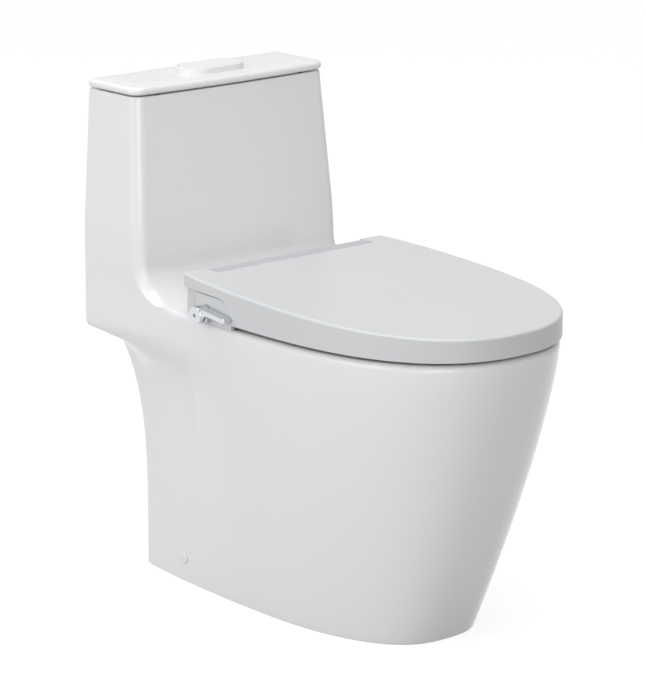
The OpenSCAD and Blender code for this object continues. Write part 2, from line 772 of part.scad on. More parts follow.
module flush_cage() {
    color("lightsteelblue") translate([valve_x, at(valve_d), cage_z]) difference() {
        union() {
            tube(cage_r, cage_r - 2.5, cage_h);
            translate([0, 0, cage_h - 3]) tube(cage_r, pipe_r + 1, 3);
        }
        for (a = [0, 90]) rotate([0, 0, a]) translate([-60, -14, -past]) cube([120, 28, 56]);
        for (a = [45, 135]) rotate([0, 0, a]) translate([-60, -6, 80]) cube([120, 12, 40]);
    }
}

module tower_head() {
    color("ivory") translate([valve_x, at(valve_d), head_z]) {
        difference() {
            union() {
                tube(26, 21, head_top - head_z);
                tube(cage_r - 4, 21, 4);
                translate([0, 0, head_top - head_z - 4]) cylinder(r = 26, h = 4);
                for (s = [-1, 1]) translate([s * rod_x, 0, head_top - head_z]) cylinder(r = rod_r + 3, h = pad_h);
                translate([-26 - 9, 0, 22]) along_x() cylinder(r = nipple_r, h = 12);
            }
            for (a = [45, 135]) rotate([0, 0, a]) translate([-40, -8, 34]) cube([80, 16, 22]);
        }
    }
}

module half_flush_float() {
    color("lightgray") translate([valve_x, at(valve_d), cage_z + 84]) tube(cage_r + 5.5, cage_r + near, 30);
}

module flush_canister() {
    color("lightblue") translate([valve_x, at(valve_d), seal_z + seal_t]) difference() {
        tube(canister_r, pipe_r + 0.05, canister_h);
        translate([0, 0, 3]) tube(canister_r - 2, pipe_r + 2, canister_h - 6);
    }
}

module canister_seal() {
    color("dimgray") translate([valve_x, at(valve_d), seal_z]) tube(32, pipe_r + 0.05, seal_t);
}

module overflow_pipe() {
    color("lightblue") translate([valve_x, at(valve_d), seal_z]) tube(pipe_r, pipe_r - 2, pipe_top - seal_z);
}

// Cistern lid: an outline that follows the cistern's top edge
function tank_lid_half(by) = cistern_half(cistern_top_w / 2 + tank_lid_over - by, by + 0.2,
    cistern_d(cistern_top) + tank_lid_over - by, back_corner_r, front_corner_r);
module tank_lid() {
    lip = china_wall + 3;
    color("white") difference() {
        resize([0, 0, 0]) difference() {
            union() {
                loft(concat(
                    [loop(tank_lid_half(2), tank_lid_z), loop(tank_lid_half(0), tank_lid_z + 2.5)],
                    [for (f = [0, 30, 60, 90])
                        loop(tank_lid_half(tank_lid_edge_r * (1 - cos(f))),
                             tank_lid_z + tank_lid_t - tank_lid_edge_r * (1 - sin(f)))],
                    [loop(tank_lid_half(30), tank_lid_top)]));
                loft([for (z = [tank_lid_z - 8, tank_lid_z + 1])
                    loop(cistern_half(cistern_top_w / 2 - lip, lip, cistern_d(cistern_top) - lip, 12, 16), z)]);
            }
            loft([for (z = [tank_lid_z - 8 - past, tank_lid_z])
                loop(cistern_half(cistern_top_w / 2 - lip - 6, lip + 6, cistern_d(cistern_top) - lip - 6, 8, 12), z)]);
        }
        translate([plate_x, at(plate_d), tank_lid_z - 20]) cylinder(r = barrel_r + 1, h = 60);
    }
}

module tank_lid_pads() {
    color("dimgray") for (sx = [-1, 1], d = [china_wall / 2 + 1, cistern_top_d - china_wall / 2 - 5])
        translate([sx * (cistern_top_w / 2 - 42), at(d), cistern_top]) cylinder(r = 3.5, h = tank_lid_gap);
}

// Flat shape with round ends, centred on the plate
module pill(l, w, h) {
    translate([plate_x, at(plate_d), 0]) linear_extrude(h) {
        square([l - w, w], center = true);
        for (s = [-1, 1]) translate([s * (l - w) / 2, 0]) circle(w / 2);
    }
}

module flush_plate() {
    color("white") difference() {
        union() {
            translate([0, 0, tank_lid_top]) pill(plate_l, plate_w, plate_rise - 1.5);
            translate([0, 0, plate_top - 1.5]) pill(plate_l - 2, plate_w - 2, 1.5);
            translate([plate_x, at(plate_d), barrel_bottom]) cylinder(r = barrel_r, h = tank_lid_top - barrel_bottom + 0.5);
        }
        translate([0, 0, tank_lid_top + plate_base_t])
            pill(plate_l - 2 * plate_rim_t - 2, plate_w - 2 * plate_rim_t - 2, plate_rise);
        translate([plate_x, at(plate_d), barrel_bottom + 2]) cylinder(r = barrel_r - 2, h = 60);
        for (s = [-1, 1]) translate([plate_x + s * rod_x, at(plate_d), barrel_bottom - past])
            cylinder(r = rod_r + run_fit, h = 10);
    }
}

module flush_plate_nut() {
    color("ivory") translate([plate_x, at(plate_d), tank_lid_z - 7]) difference() {
        union() {
            cylinder(r = barrel_r + 4.5, h = 6.8);
            for (a = [0 : 60 : 300]) rotate([0, 0, a]) translate([barrel_r + 3, -2, 0]) cube([3.5, 4, 6.8]);
        }
        translate([0, 0, -past]) cylinder(r = barrel_r + 0.05, h = 12);
    }
}

module button_spring(side) {
    translate([plate_x + side * rod_x, at(plate_d), spring_z]) coil(spring_r, spring_wire, 5, spring_h);
}
module full_button_spring() { color("silver") button_spring(1); }
module half_button_spring() { color("silver") button_spring(-1); }

// One part of the pressed face, from x0 to x1 across the plate
module button(x0, x1) {
    inner_l = plate_l - 2 * plate_rim_t - 2 - 2 * button_gap;
    inner_w = plate_w - 2 * plate_rim_t - 2 - 2 * button_gap;
    intersection() {
        union() {
            translate([0, 0, plate_top - button_t]) pill(inner_l, inner_w, button_t - 0.6);
            translate([0, 0, plate_top - 0.6]) pill(inner_l - 1.2, inner_w - 1.2, 0.8);
        }
        translate([plate_x + x0, at(plate_d) - plate_w, plate_top - 20]) cube([x1 - x0, 2 * plate_w, 40]);
    }
}
module full_button() { color("whitesmoke") button(-button_split + button_gap, plate_l); }
module half_button() { color("whitesmoke") button(-plate_l, -button_split - button_gap); }

module push_rod(side) {
    translate([plate_x + side * rod_x, at(plate_d), 0]) {
        translate([0, 0, rod_end]) cylinder(r = rod_r, h = plate_top - button_t - rod_end);
        translate([0, 0, spring_z + spring_h + near]) cylinder(r = spring_r + 0.8, h = 3);
    }
}
module full_push_rod() { color("ivory") push_rod(1); }
module half_push_rod() { color("ivory") push_rod(-1); }

module mounting_plate() {
    half_l = bolt_spacing / 2 + 20;
    color("silver") difference() {
        translate([-half_l, at(bolt_d + 25), rim_z]) cube([2 * half_l, 50, plate_t]);
        translate([-30, at(bolt_d + 26), rim_z - past]) cube([60, 30, plate_t + 2 * past]);
        for (s = [-1, 1]) translate([s * bolt_spacing / 2, at(bolt_d), 0]) {
            for (dy = [-6, 6]) translate([0, dy, rim_z - past]) cylinder(r = 4.2, h = plate_t + 2 * past);
            translate([-4.2, -6, rim_z - past]) cube([8.4, 12, plate_t + 2 * past]);
            for (dy = [-6, 6]) translate([0, dy, rim_z + 1.5]) cylinder(r = 7.5, h = plate_t);
            translate([-7.5, -6, rim_z + 1.5]) cube([15, 12, plate_t]);
        }
    }
}

bolt_end = rim_z - 44;
module seat_bolts() {
    color("silver") for (s = [-1, 1]) translate([s * bolt_spacing / 2, at(bolt_d), 0]) {
        translate([0, 0, bolt_end]) cylinder(r = 3.9, h = rim_z + 1.5 - bolt_end);
        translate([0, 0, rim_z + 1.5]) cylinder(r = 7, h = 2.4);
    }
}

module seat_bolt_sleeves() {
    color("dimgray") for (s = [-1, 1]) translate([s * bolt_spacing / 2, at(bolt_d), rim_z - 34]) tube(7.8, 3.95, 33.8);
}

module seat_bolt_nuts() {
    color("ivory") for (s = [-1, 1]) translate([s * bolt_spacing / 2, at(bolt_d), rim_z - 43]) difference() {
        cylinder(r1 = 6, r2 = 7.6, h = 8.8);
        translate([0, 0, -past]) cylinder(r = 3.95, h = 20);
    }
}

// Half width over the cheeks: it follows the lid, and stays clear of the lid's rear corners as they swing down
function cheek_w(d) = let (full = lid_half_w(d) - cheek_inset)
    min(full, mix(lid_rear_w / 2 - lid_wall - 0.6, full, ease((d - hinge_d - 4) / 18)));
cheek_steps = 12;
function cheek_plan(d0, d1, by) = concat(
    [for (i = [0 : cheek_steps]) let (d = mix(d0, d1, i / cheek_steps)) [-(cheek_w(d) - by), at(d)]],
    [for (i = [cheek_steps : -1 : 0]) let (d = mix(d0, d1, i / cheek_steps)) [cheek_w(d) - by, at(d)]]);

// Side profile that ends in the cheek's round front, from a straight back at distance d0 and down to height z0
function cheek_profile(d0, z0, grow) = concat(
    [[d0, z0], [d0, cheek_top + grow - 5], [d0 + 1.5, cheek_top + grow - 1.5], [d0 + 5, cheek_top + grow]],
    [for (f = [90 : -10 : 0])
        [cheek_end - cheek_r + (cheek_r + grow) * cos(f), cheek_top - cheek_r + (cheek_r + grow) * sin(f)]],
    [[cheek_end + grow, z0]]);

module unit_lower_shell() {
    body_top = rim_z + 30;
    color("white") difference() {
        union() {
            // tray under the unit
            translate([0, 0, rim_z + near]) linear_extrude(tray_t) polygon(cheek_plan(cheek_back, unit_front, 0));
            // middle body that carries the cover
            translate([-cover_x, at(unit_front), rim_z + near]) cube([2 * cover_x, unit_front - lid_back - 0.6, body_top - rim_z - near]);
            // cheeks
            intersection() {
                difference() {
                    linear_extrude(900) polygon(cheek_plan(cheek_back, cheek_end, 0));
                    linear_extrude(900) polygon(cheek_plan(cheek_back - past, cheek_end + past, cheek_t));
                }
                side_plate(-lid_w, lid_w, cheek_profile(cheek_back, rim_z + near, 0));
            }
        }
        // inside of the middle body
        translate([-cover_x + shell_t, at(unit_front - shell_t), tray_floor + 2])
            cube([2 * (cover_x - shell_t), unit_front - lid_back - 0.6 - 2 * shell_t, 60]);
        // hollow under the tray, over the mounting plate
        translate([-cover_x + shell_t, at(unit_front - shell_t), rim_z - past])
            cube([2 * (cover_x - shell_t), unit_front - cheek_back - 2 * shell_t, plate_t + past + near]);
        // way out for the nozzles
        translate([-carrier_half_w - 0.5, at(unit_front + past), rim_z - past])
            cube([2 * carrier_half_w + 1, 46, 12]);
        // spindle and inlet
        translate([-lid_w / 2, lever_y, lever_z]) along_x() cylinder(r = spindle_r + run_fit, h = 70);
        translate([inlet_x, at(lid_back - 5), inlet_z]) rotate([90, 0, 0]) cylinder(r = 7.2, h = 20);
    }
}

// Side profile of the top cover
function cover_profile(by) = [
    [lid_back + 0.6 + by, rim_z + 30 + (by > 0 ? -past : near)], [lid_back + 0.6 + by, cover_top - 3 - by * 0.6],
    [lid_back + 3.6 + by * 0.6, cover_top - by], [lid_back + 24, cover_top - by],
    [lid_back + 28 - by * 0.6, cover_top - 4 - by], [lid_back + 34 - by * 0.6, rim_z + 42 - by * 0.6],
    [unit_front - 12, rim_z + 36 - by], [unit_front - by, rim_z + 34 - by],
    [unit_front - by, rim_z + 30 + (by > 0 ? -past : near)]];
module unit_top_cover() {
    color("whitesmoke") difference() {
        side_plate(-cover_x, cover_x, cover_profile(0));
        side_plate(-cover_x + shell_t, cover_x - shell_t, cover_profile(shell_t));
        translate([-200, hinge_y, hinge_z]) along_x() cylinder(r = pin_r + 0.02, h = 400);
    }
}

module hinge_pins() {
    color("silver") both_sides() translate([cover_x - 22, hinge_y, hinge_z]) along_x()
        cylinder(r = pin_r, h = seat_lug[1] + 1.5 - cover_x + 22);
}

// Rotary damper: a drum with a flange, bored for the pin's inner end
module damper() {
    translate([cover_x - 74, hinge_y, hinge_z]) along_x() difference() {
        union() {
            cylinder(r = 9, h = 52);
            translate([0, 0, 52]) cylinder(r = 7, h = 18);
        }
        translate([0, 0, 50]) cylinder(r = pin_r + 0.02, h = 40);
    }
}
module lid_damper() { color("dimgray") mirror([1, 0, 0]) damper(); }
module seat_damper() { color("dimgray") damper(); }

// Selector valve behind the left cheek
valve_x0 = -cover_x + shell_t + 0.2;
valve_x1 = valve_x0 + 40;
inlet_x = valve_x0 + 24;
inlet_z = rim_z + 17.5;
valve_back = 238;
valve_front = 280;
module selector_valve() {
    color("gray") difference() {
        union() {
            translate([valve_x0, at(valve_front), tray_floor + 2.1]) cube([40, valve_front - valve_back, rim_z + 29.5 - tray_floor - 2.1]);
            for (d = hose_ds) translate([valve_x1, at(d), hose_z(d)]) along_x() cylinder(r = nipple_r, h = 8);
        }
        translate([valve_x0 - past, lever_y, lever_z]) along_x() cylinder(r = spindle_r + run_fit, h = 22);
        translate([inlet_x, at(valve_back - past), inlet_z]) rotate([90, 0, 0]) cylinder(r = 5, h = 14);
    }
}

module inlet_fitting() {
    color("silver") translate([inlet_x, at(valve_back), inlet_z]) rotate([-90, 0, 0]) difference() {
        union() {
            cylinder(r = 7, h = valve_back - lid_back + 1);
            translate([0, 0, valve_back - lid_back + 0.5]) cylinder(r = 13.5, h = 3, $fn = 6);
            translate([0, 0, valve_back - lid_back + 3]) cylinder(r = shank_r - 0.8, h = 2);
            translate([0, 0, valve_back - lid_back + 4.5]) cylinder(r = shank_r, h = 14);
        }
        translate([0, 0, -past]) cylinder(r = 5, h = 60);
    }
}

// Nozzle carrier: its own frame lies along the nozzles, with +Z towards the tips
function nozzle_frame_z(d) = nozzle_tip_z + (nozzle_tip_d - d) * tan(nozzle_slope);
hose_ds = [246, 258];
function hose_z(d) = nozzle_frame_z(d);
module nozzle_frame() {
    translate([0, at(nozzle_tip_d), nozzle_tip_z]) rotate([90 + nozzle_slope, 0, 0]) children();
}

module nozzle_carrier() {
    color("gainsboro") difference() {
        nozzle_frame() translate([-carrier_half_w, -carrier_half_h, -carrier_front - carrier_l])
            cube([2 * carrier_half_w, 2 * carrier_half_h, carrier_l]);
        for (s = [-1, 1]) nozzle_frame() translate([s * nozzle_pitch / 2, 0, -carrier_front - carrier_l + 3])
            cylinder(r = nozzle_r + run_fit, h = carrier_l + 10);
        for (d = hose_ds) translate([-carrier_half_w - past, at(d), hose_z(d)]) along_x() cylinder(r = nipple_r, h = 12);
    }
}

module bidet_hoses() {
    color("white") for (d = hose_ds) translate([valve_x1, at(d), hose_z(d)]) along_x()
        tube(refill_r, nipple_r + 0.05, -carrier_half_w - valve_x1);
}

module nozzle_guard() {
    color("white") nozzle_frame() difference() {
        translate([-carrier_half_w, -carrier_half_h - 5, -carrier_front]) cube([2 * carrier_half_w, 2 * carrier_half_h + 5, 2.5]);
        for (s = [-1, 1]) translate([s * nozzle_pitch / 2, 0, -carrier_front - past]) cylinder(r = nozzle_r + 0.3, h = 10);
    }
}

module nozzle_springs() {
    color("silver") for (s = [-1, 1]) nozzle_frame()
        translate([s * nozzle_pitch / 2, 0, -carrier_front - carrier_l + 3]) coil(2.2, 0.45, 8, 62);
}

module nozzle(side) {
    nozzle_frame() translate([side * nozzle_pitch / 2, 0, -nozzle_l]) difference() {
        union() {
            cylinder(r = nozzle_r, h = nozzle_l - 3);
            translate([0, 0, nozzle_l - 3]) cylinder(r1 = nozzle_r, r2 = nozzle_r - 1.5, h = 3);
        }
        translate([0, 0, -past]) cylinder(r = nozzle_bore_r, h = nozzle_l - 12);
        // spray holes near the tip, on the upper side
        for (k = [0 : (side > 0 ? 2 : 0)])
            translate([0, 0, nozzle_l - 22 + 3 * k]) rotate([-90, 0, 0]) cylinder(r = 0.7, h = 20);
    }
}
module rear_nozzle() { color("gainsboro") nozzle(-1); }
module front_nozzle() { color("gainsboro") nozzle(1); }

module selector_lever() {
    arm_in = arm_x - hub_x;
    color("silver") translate([-hub_x, lever_y, lever_z]) mirror([1, 0, 0]) along_x() difference() {
        union() {
            cylinder(r = hub_r, h = hub_l - 1);
            translate([0, 0, hub_l - 1]) cylinder(r1 = hub_r, r2 = hub_r - 1, h = 1);
            translate([0, 0, arm_in]) linear_extrude(arm_w) rotate(-90)
                polygon([[0, -hub_r + 1], [hub_r + 2, -hub_r + 1.6], [arm_l - 2.5, -5.5], [arm_l, -3.5], [arm_l, 0],
                         [arm_l - 2.5, 1.8], [hub_r + 8, -2], [hub_r, 2], [0, 6]]);
        }
        translate([0, 0, -past]) cylinder(r = spindle_r + 0.02, h = 9);
        translate([0, 0, hub_l - 1]) cylinder(r = 2.5, h = 2);
    }
}

module lever_spindle() {
    color("dimgray") translate([-hub_x - 7.5, lever_y, lever_z]) along_x() cylinder(r = spindle_r, h = hub_x + 7.5 + valve_x0 + 18);
}

module lever_mark() {
    color("royalblue") translate([-hub_x - hub_l + 1, lever_y, lever_z]) mirror([1, 0, 0]) along_x() cylinder(r = 2.45, h = 0.8);
}

// Seat ring: outer edge, its round section and the opening
seat_back = unit_front + 10;
seat_front = lid_front - lid_wall - 3.5;
seat_z = rim_z + seat_lift;
seat_stations = 30;
rear_stations = 6;
seat_in = lid_wall + 3.5;
function seat_outer(i) = i < rear_stations
    ? [146 * i / rear_stations, seat_back]
    : let (t = (i - rear_stations) / (seat_stations - rear_stations), s = ahead(t),
           d = mix(seat_back, seat_front, s),
           full = egg_w(unit((d - lid_back - seat_in) / (lid_l - 2 * seat_in)),
                        lid_rear_w - 2 * seat_in, lid_w - 2 * seat_in, 0.3, 2.8, 2.3),
           corner = unit((d - seat_back) / 34))
      i == seat_stations ? [0, seat_front]
      : [min(full, mix(146, 176.5, sqrt(1 - pow(1 - corner, 2))) + max(d - seat_back - 34, 0)) , d];
function seat_inner(i) = let (f = 180 * (i < rear_stations ? 0.26 * i / rear_stations
        : 0.26 + 0.74 * (i - rear_stations) / (seat_stations - rear_stations)),
        mid = (seat_hole_back + seat_hole_front) / 2, half_l = (seat_hole_front - seat_hole_back) / 2)
    [seat_hole_w / 2 * pow(max(sin(f), 0), 0.85), mid - half_l * cos(f)];
function seat_top(d) = seat_z + seat_t - 5 * (d - seat_back) / (seat_front - seat_back);
// Section of the ring: share of the way from the outer edge to the inner one, and share of the height
seat_section = [[0.03, 0], [0, 0.15], [0, 0.55], [0.05, 0.84], [0.17, 0.98], [0.36, 1], [0.66, 0.9], [0.9, 0.72],
                [1, 0.5], [1, 0.12], [0.96, 0]];
function seat_ring_at(i, side) = let (a = seat_outer(i), b = seat_inner(i))
    [for (q = seat_section) let (p = a + (b - a) * q[0])
        [side * p[0], at(p[1]), mix(seat_z, seat_top(p[1]), q[1])]];
module seat_body() {
    n = len(seat_section);
    stations = concat([for (i = [0 : seat_stations]) seat_ring_at(i, -1)],
                      [for (i = [seat_stations - 1 : -1 : 1]) seat_ring_at(i, 1)]);
    m = len(stations);
    polyhedron(points = [for (s = stations) each s],
        faces = [for (k = [0 : m - 1], i = [0 : n - 1])
            let (j = (i + 1) % n, l = (k + 1) % m)
            each [[k * n + i, k * n + j, l * n + i], [k * n + j, l * n + j, l * n + i]]]);
}

// Arm from the hinge to the ring
module seat_arm() {
    d1 = seat_back + 26;
    translate([seat_lug[0], hinge_y, hinge_z]) along_x() cylinder(r = lug_r, h = seat_lug[1] - seat_lug[0], $fn = 32);
    side_plate(seat_lug[0], seat_lug[1], [[hinge_d, hinge_z + lug_r], [hinge_d + 14, hinge_z + 6], [d1, seat_z + 19],
        [d1, seat_z + 6], [seat_back + 2, seat_z + 8], [hinge_d + 4, hinge_z - lug_r + 0.8]]);
}

module seat_ring() {
    color("white") difference() {
        resize([0, 0, 0]) union() {
            seat_body();
            both_sides() seat_arm();
        }
        both_sides() translate([seat_lug[0] - past, hinge_y, hinge_z]) along_x() cylinder(r = pin_r + run_fit, h = 14);
    }
}

bumper_spots = [[152, 400], [108, 598]];
module seat_bumpers() {
    color("gainsboro") both_sides() for (p = bumper_spots)
        translate([p[0], at(p[1]), rim_z + near]) cylinder(r1 = 7, r2 = 8, h = seat_lift - near);
}

// Seat lid
function lid_top(d) = mix(lid_top_rear, lid_top_front, (d - lid_back) / lid_l);
function lid_low(d) = mix(lid_low_rear, lid_low_front, (d - lid_back) / lid_l);
lid_crown = 1.2;
lid_edge_r = 3;
lid_steps = 30;
function lid_half(by) = concat([for (f = [0, 0.35, 0.7]) [f * (lid_rear_w / 2 - by), lid_back + by]],
    [for (i = [0 : lid_steps]) let (d = mix(lid_back + by, lid_front - by, ahead(i / lid_steps)),
            s = unit((d - lid_back - by) / (lid_l - 2 * by)))
        [i == lid_steps ? 0 : egg_w(s, lid_rear_w - 2 * by, lid_w - 2 * by, 0.3, 2.8, 2.3), d]]);
function lid_loop(by, lift) = [for (p = loop(lid_half(by), 0))
    [p[0], p[1], lid_top(outlet_setback - p[1]) + lift]];
function lid_low_loop(by, drop) = [for (p = loop(lid_half(by), 0))
    [p[0], p[1], lid_low(outlet_setback - p[1]) - drop]];

module lid_lug() {
    translate([lid_lug[0], hinge_y, hinge_z]) along_x() cylinder(r = lug_r, h = lid_lug[1] - lid_lug[0], $fn = 32);
    side_plate(lid_lug[0], lid_lug[1], [[hinge_d - 9, hinge_z], [hinge_d - 9, cover_top + 1],
                                      [hinge_d + 14, cover_top], [hinge_d + 9, hinge_z]]);
}

module seat_lid() {
    color("white") difference() {
        resize([0, 0, 0]) union() {
            difference() {
                loft([lid_low_loop(0.8, 0), lid_low_loop(0, -1.5), lid_loop(0, -lid_edge_r),
                      lid_loop(lid_edge_r * 0.3, -lid_edge_r * 0.3), lid_loop(lid_edge_r, 0), lid_loop(60, lid_crown)]);
                loft([lid_low_loop(lid_wall, 10), lid_loop(lid_wall, -lid_wall - 3), lid_loop(lid_wall + 2, -lid_wall)]);
                translate([-notch_x, at(lid_back + 28), 300]) cube([2 * notch_x, 60, 300]);
                // low back edge, which passes the cheeks as the lid turns
                translate([-lid_rear_w / 2 + lid_wall, at(lid_back + lid_wall + past), 300])
                    cube([lid_rear_w - 2 * lid_wall, 20, lid_top_rear - 6.5 - 300]);
                side_plate(-lid_w, lid_w, cheek_profile(lid_back - 20, 300, 1.5));
            }
            both_sides() lid_lug();
        }
        both_sides() translate([lid_lug[0] - past, hinge_y, hinge_z]) along_x() cylinder(r = pin_r + run_fit, h = 14);
    }
}

lid_bumper_spots = [[150, 500], [96, 596]];
module lid_bumpers() {
    color("gainsboro") both_sides() for (p = lid_bumper_spots)
        translate([p[0], at(p[1]), seat_top(p[1]) + near]) cylinder(r = 5, h = lid_top(p[1]) - lid_wall - seat_top(p[1]) - 2 * near);
}

china_cistern();
china_pedestal();
china_bowl();
outlet_seal();
floor_brackets();
side_screws();
side_bushes();
side_caps();
fill_valve_body();
fill_valve_washer();
fill_valve_nut();
fill_valve_cap();
refill_tube();
fill_float();
float_arm();
flush_valve_base();
flush_valve_gasket();
flush_valve_screws();
flush_cage();
tower_head();
half_flush_float();
flush_canister();
canister_seal();
overflow_pipe();
tank_lid();
tank_lid_pads();
flush_plate();
flush_plate_nut();
full_button_spring();
half_button_spring();
full_button();
full_push_rod();
half_button();
half_push_rod();
mounting_plate();
seat_bolts();
seat_bolt_sleeves();
seat_bolt_nuts();
unit_lower_shell();
unit_top_cover();
hinge_pins();
lid_damper();
seat_damper();
selector_valve();
inlet_fitting();
bidet_hoses();
nozzle_carrier();
nozzle_guard();
nozzle_springs();
rear_nozzle();
front_nozzle();
selector_lever();
lever_spindle();
lever_mark();
seat_ring();
seat_bumpers();
seat_lid();
lid_bumpers();
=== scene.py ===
# %% [markdown]
# # A one-piece toilet with a bidet seat
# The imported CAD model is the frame: every piece made here sits on it and moves with one of its bodies.
# The china, the seat and the trim get finer surfaces. The valves, bolts and springs inside keep their CAD
# shape and get a material. Positions are worked out in millimetres and turned to metres when a mesh is
# made.

# %% Load the frame
import math

import bpy
from mathutils import Euler, Matrix, Vector


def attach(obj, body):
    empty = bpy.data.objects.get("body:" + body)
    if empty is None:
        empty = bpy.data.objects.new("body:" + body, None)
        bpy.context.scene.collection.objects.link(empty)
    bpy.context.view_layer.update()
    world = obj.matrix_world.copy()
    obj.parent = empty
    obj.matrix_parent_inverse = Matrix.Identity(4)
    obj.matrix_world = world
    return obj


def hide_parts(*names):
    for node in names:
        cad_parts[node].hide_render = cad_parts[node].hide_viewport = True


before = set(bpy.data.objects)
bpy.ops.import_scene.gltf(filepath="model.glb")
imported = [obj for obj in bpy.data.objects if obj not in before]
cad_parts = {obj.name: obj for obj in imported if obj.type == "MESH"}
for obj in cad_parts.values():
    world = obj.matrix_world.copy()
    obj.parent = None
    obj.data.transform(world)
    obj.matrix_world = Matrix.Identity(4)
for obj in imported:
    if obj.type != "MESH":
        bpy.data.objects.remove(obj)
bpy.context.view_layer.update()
bpy.ops.object.select_all(action="DESELECT")

# %% [markdown]
# ## The camera
# A product photograph is taken from far away with a long lens, so that the object's sides stay nearly
# parallel. The camera's place and turn were worked out from edges of known length, so it is set with
# numbers: five metres away, above the lid and to the left.

# %% Camera
CAMERA_PLACE = (-3.2854, -3.7528, 1.6215)
YAW, PITCH, ROLL = -41.275, -14.364, 0.176
SENSOR_MM, LONG_SIDE_PX, FOCAL_PX = 36, 700, 3800

camera_data = bpy.data.cameras.new("camera")
camera_data.sensor_width = SENSOR_MM
camera_data.sensor_fit = "AUTO"
camera_data.lens = SENSOR_MM * FOCAL_PX / LONG_SIDE_PX
camera_data.clip_end = 50
camera = bpy.data.objects.new("camera", camera_data)
bpy.context.collection.objects.link(camera)
aimed = Euler((math.radians(90 + PITCH), 0, math.radians(YAW)), "XYZ").to_matrix()
rolled = Matrix.Rotation(math.radians(ROLL), 3, "Z")
camera.location = CAMERA_PLACE
camera.rotation_euler = (aimed @ rolled).to_euler("XYZ")
bpy.context.scene.camera = camera
print("lens", round(camera_data.lens, 1), "mm")

# %% [markdown]
# ## Colours and materials
# Colours are written as the hex values that a paint program shows. Blender calculates with linear light,
# so one function turns a hex value into linear numbers. The others add shader nodes.

# %% Colour and node helpers
def linear(hex_colour):
    channels = [int(hex_colour[i:i + 2], 16) / 255 for i in (1, 3, 5)]
    return tuple(c / 12.92 if c <= 0.04045 else ((c + 0.055) / 1.055) ** 2.4 for c in channels) + (1.0,)


def add_node(tree, kind, settings=None, sockets=(), **links):
    """Adds a node. A setting names an attribute or an input of the node, and a link is
    input=(node, output). Sockets fills the first inputs in order, each with a number or a link."""
    node = tree.nodes.new(kind)
    for name, value in (settings or {}).items():
        if name in node.inputs:
            node.inputs[name].default_value = value
        else:
            setattr(node, name, value)
    for name, (source, output) in links.items():
        tree.links.new(source.outputs[output], node.inputs[name.replace("_", " ")])
    for socket, value in zip(node.inputs, sockets):
        if isinstance(value, tuple):
            tree.links.new(value[0].outputs[value[1]], socket)
        else:
            socket.default_value = value
    return node


def maths(tree, operation, *sockets):
    return add_node(tree, "ShaderNodeMath", {"operation": operation}, sockets)


def new_material(name):
    material = bpy.data.materials.new(name)
    material.use_nodes = True
    material.node_tree.nodes.clear()
    return material, material.node_tree


# %% [markdown]
# Every finish here is smooth to the hand but never perfectly even. A slow noise changes the colour a
# little, and a fine one gives the surface a height of some hundredths of a millimetre or less, which is
# what breaks up a reflection. Both are read in the object's own coordinates, so they stay on the piece
# when it moves.

# %% One finish from real numbers
COLOUR_A, COLOUR_B, COLOUR_OUT = 6, 7, 2  # the Mix node's sockets for colours


def finish_of(name, colour, second, patch_mm, grain_mm, grain_height_mm, roughness, ior=1.5, metallic=0.0,
              coat=0.0, coat_roughness=0.03, stretch=(1, 1, 1), wear=0.06):
    """A material whose colour drifts from one hex value to a second over patches, over a fine grain."""
    material, tree = new_material(name)
    place = add_node(tree, "ShaderNodeTexCoord")
    scaled = add_node(tree, "ShaderNodeMapping", {"Scale": stretch}, Vector=(place, "Object"))
    patches = add_node(tree, "ShaderNodeTexNoise", {"Scale": 1000 / patch_mm, "Detail": 2.0},
                       Vector=(scaled, "Vector"))
    tint = add_node(tree, "ShaderNodeMix", {"data_type": "RGBA"}, Factor=(patches, "Fac"))
    tint.inputs[COLOUR_A].default_value = linear(colour)
    tint.inputs[COLOUR_B].default_value = linear(second)
    grain = add_node(tree, "ShaderNodeTexNoise", {"Scale": 1000 / grain_mm, "Detail": 3.0},
                     Vector=(scaled, "Vector"))
    relief = add_node(tree, "ShaderNodeBump", {"Strength": 1.0, "Distance": grain_height_mm / 1000},
                      Height=(grain, "Fac"))
    rough = add_node(tree, "ShaderNodeMapRange",
                     {"To Min": roughness - wear / 2, "To Max": roughness + wear / 2}, Value=(patches, "Fac"))
    surface = add_node(tree, "ShaderNodeBsdfPrincipled",
                       {"Metallic": metallic, "IOR": ior, "Coat Weight": coat,
                        "Coat Roughness": coat_roughness},
                       Normal=(relief, "Normal"), Roughness=(rough, "Result"), Base_Color=(tint, COLOUR_OUT))
    add_node(tree, "ShaderNodeOutputMaterial", Surface=(surface, "BSDF"))
    return material


# %% [markdown]
# Vitreous china is clay fired under a glass glaze. It could be one glossy white, but the glaze is what is
# seen: a clear coat over a body that scatters the light, with shallow waves some 30 mm long. The seat is
# white polypropylene, moulded and polished, a little cooler and less glossy than the china.

# %% White finishes
glazed_china = finish_of("vitreous_china_glazed", "#F1F1F0", "#EEEEEF", 220, 30, 0.05, 0.20,
                         ior=1.52, coat=0.5, coat_roughness=0.06, wear=0.04)
seat_plastic = finish_of("polypropylene_moulded_polished", "#D7D8D8", "#D4D5D6", 160, 6, 0.006, 0.30,
                         ior=1.49, wear=0.05)
band_plastic = finish_of("polypropylene_moulded_satin", "#C2C3C5", "#BDBEC0", 120, 1.6, 0.01, 0.42, ior=1.49)
trim_plastic = finish_of("abs_moulded_polished", "#EFEFEF", "#ECECED", 120, 8, 0.006, 0.24, ior=1.53,
                         wear=0.05)
nozzle_plastic = finish_of("abs_moulded_gloss", "#E9ECEE", "#E3E7EA", 40, 3, 0.004, 0.2, ior=1.53)

# %% [markdown]
# The lever is ABS with a bright chrome plating. A metal has no colour of its own under the reflection, so
# its base colour is how much it reflects. The other metals are stainless steel, drawn or stamped, with a
# grain that runs one way.

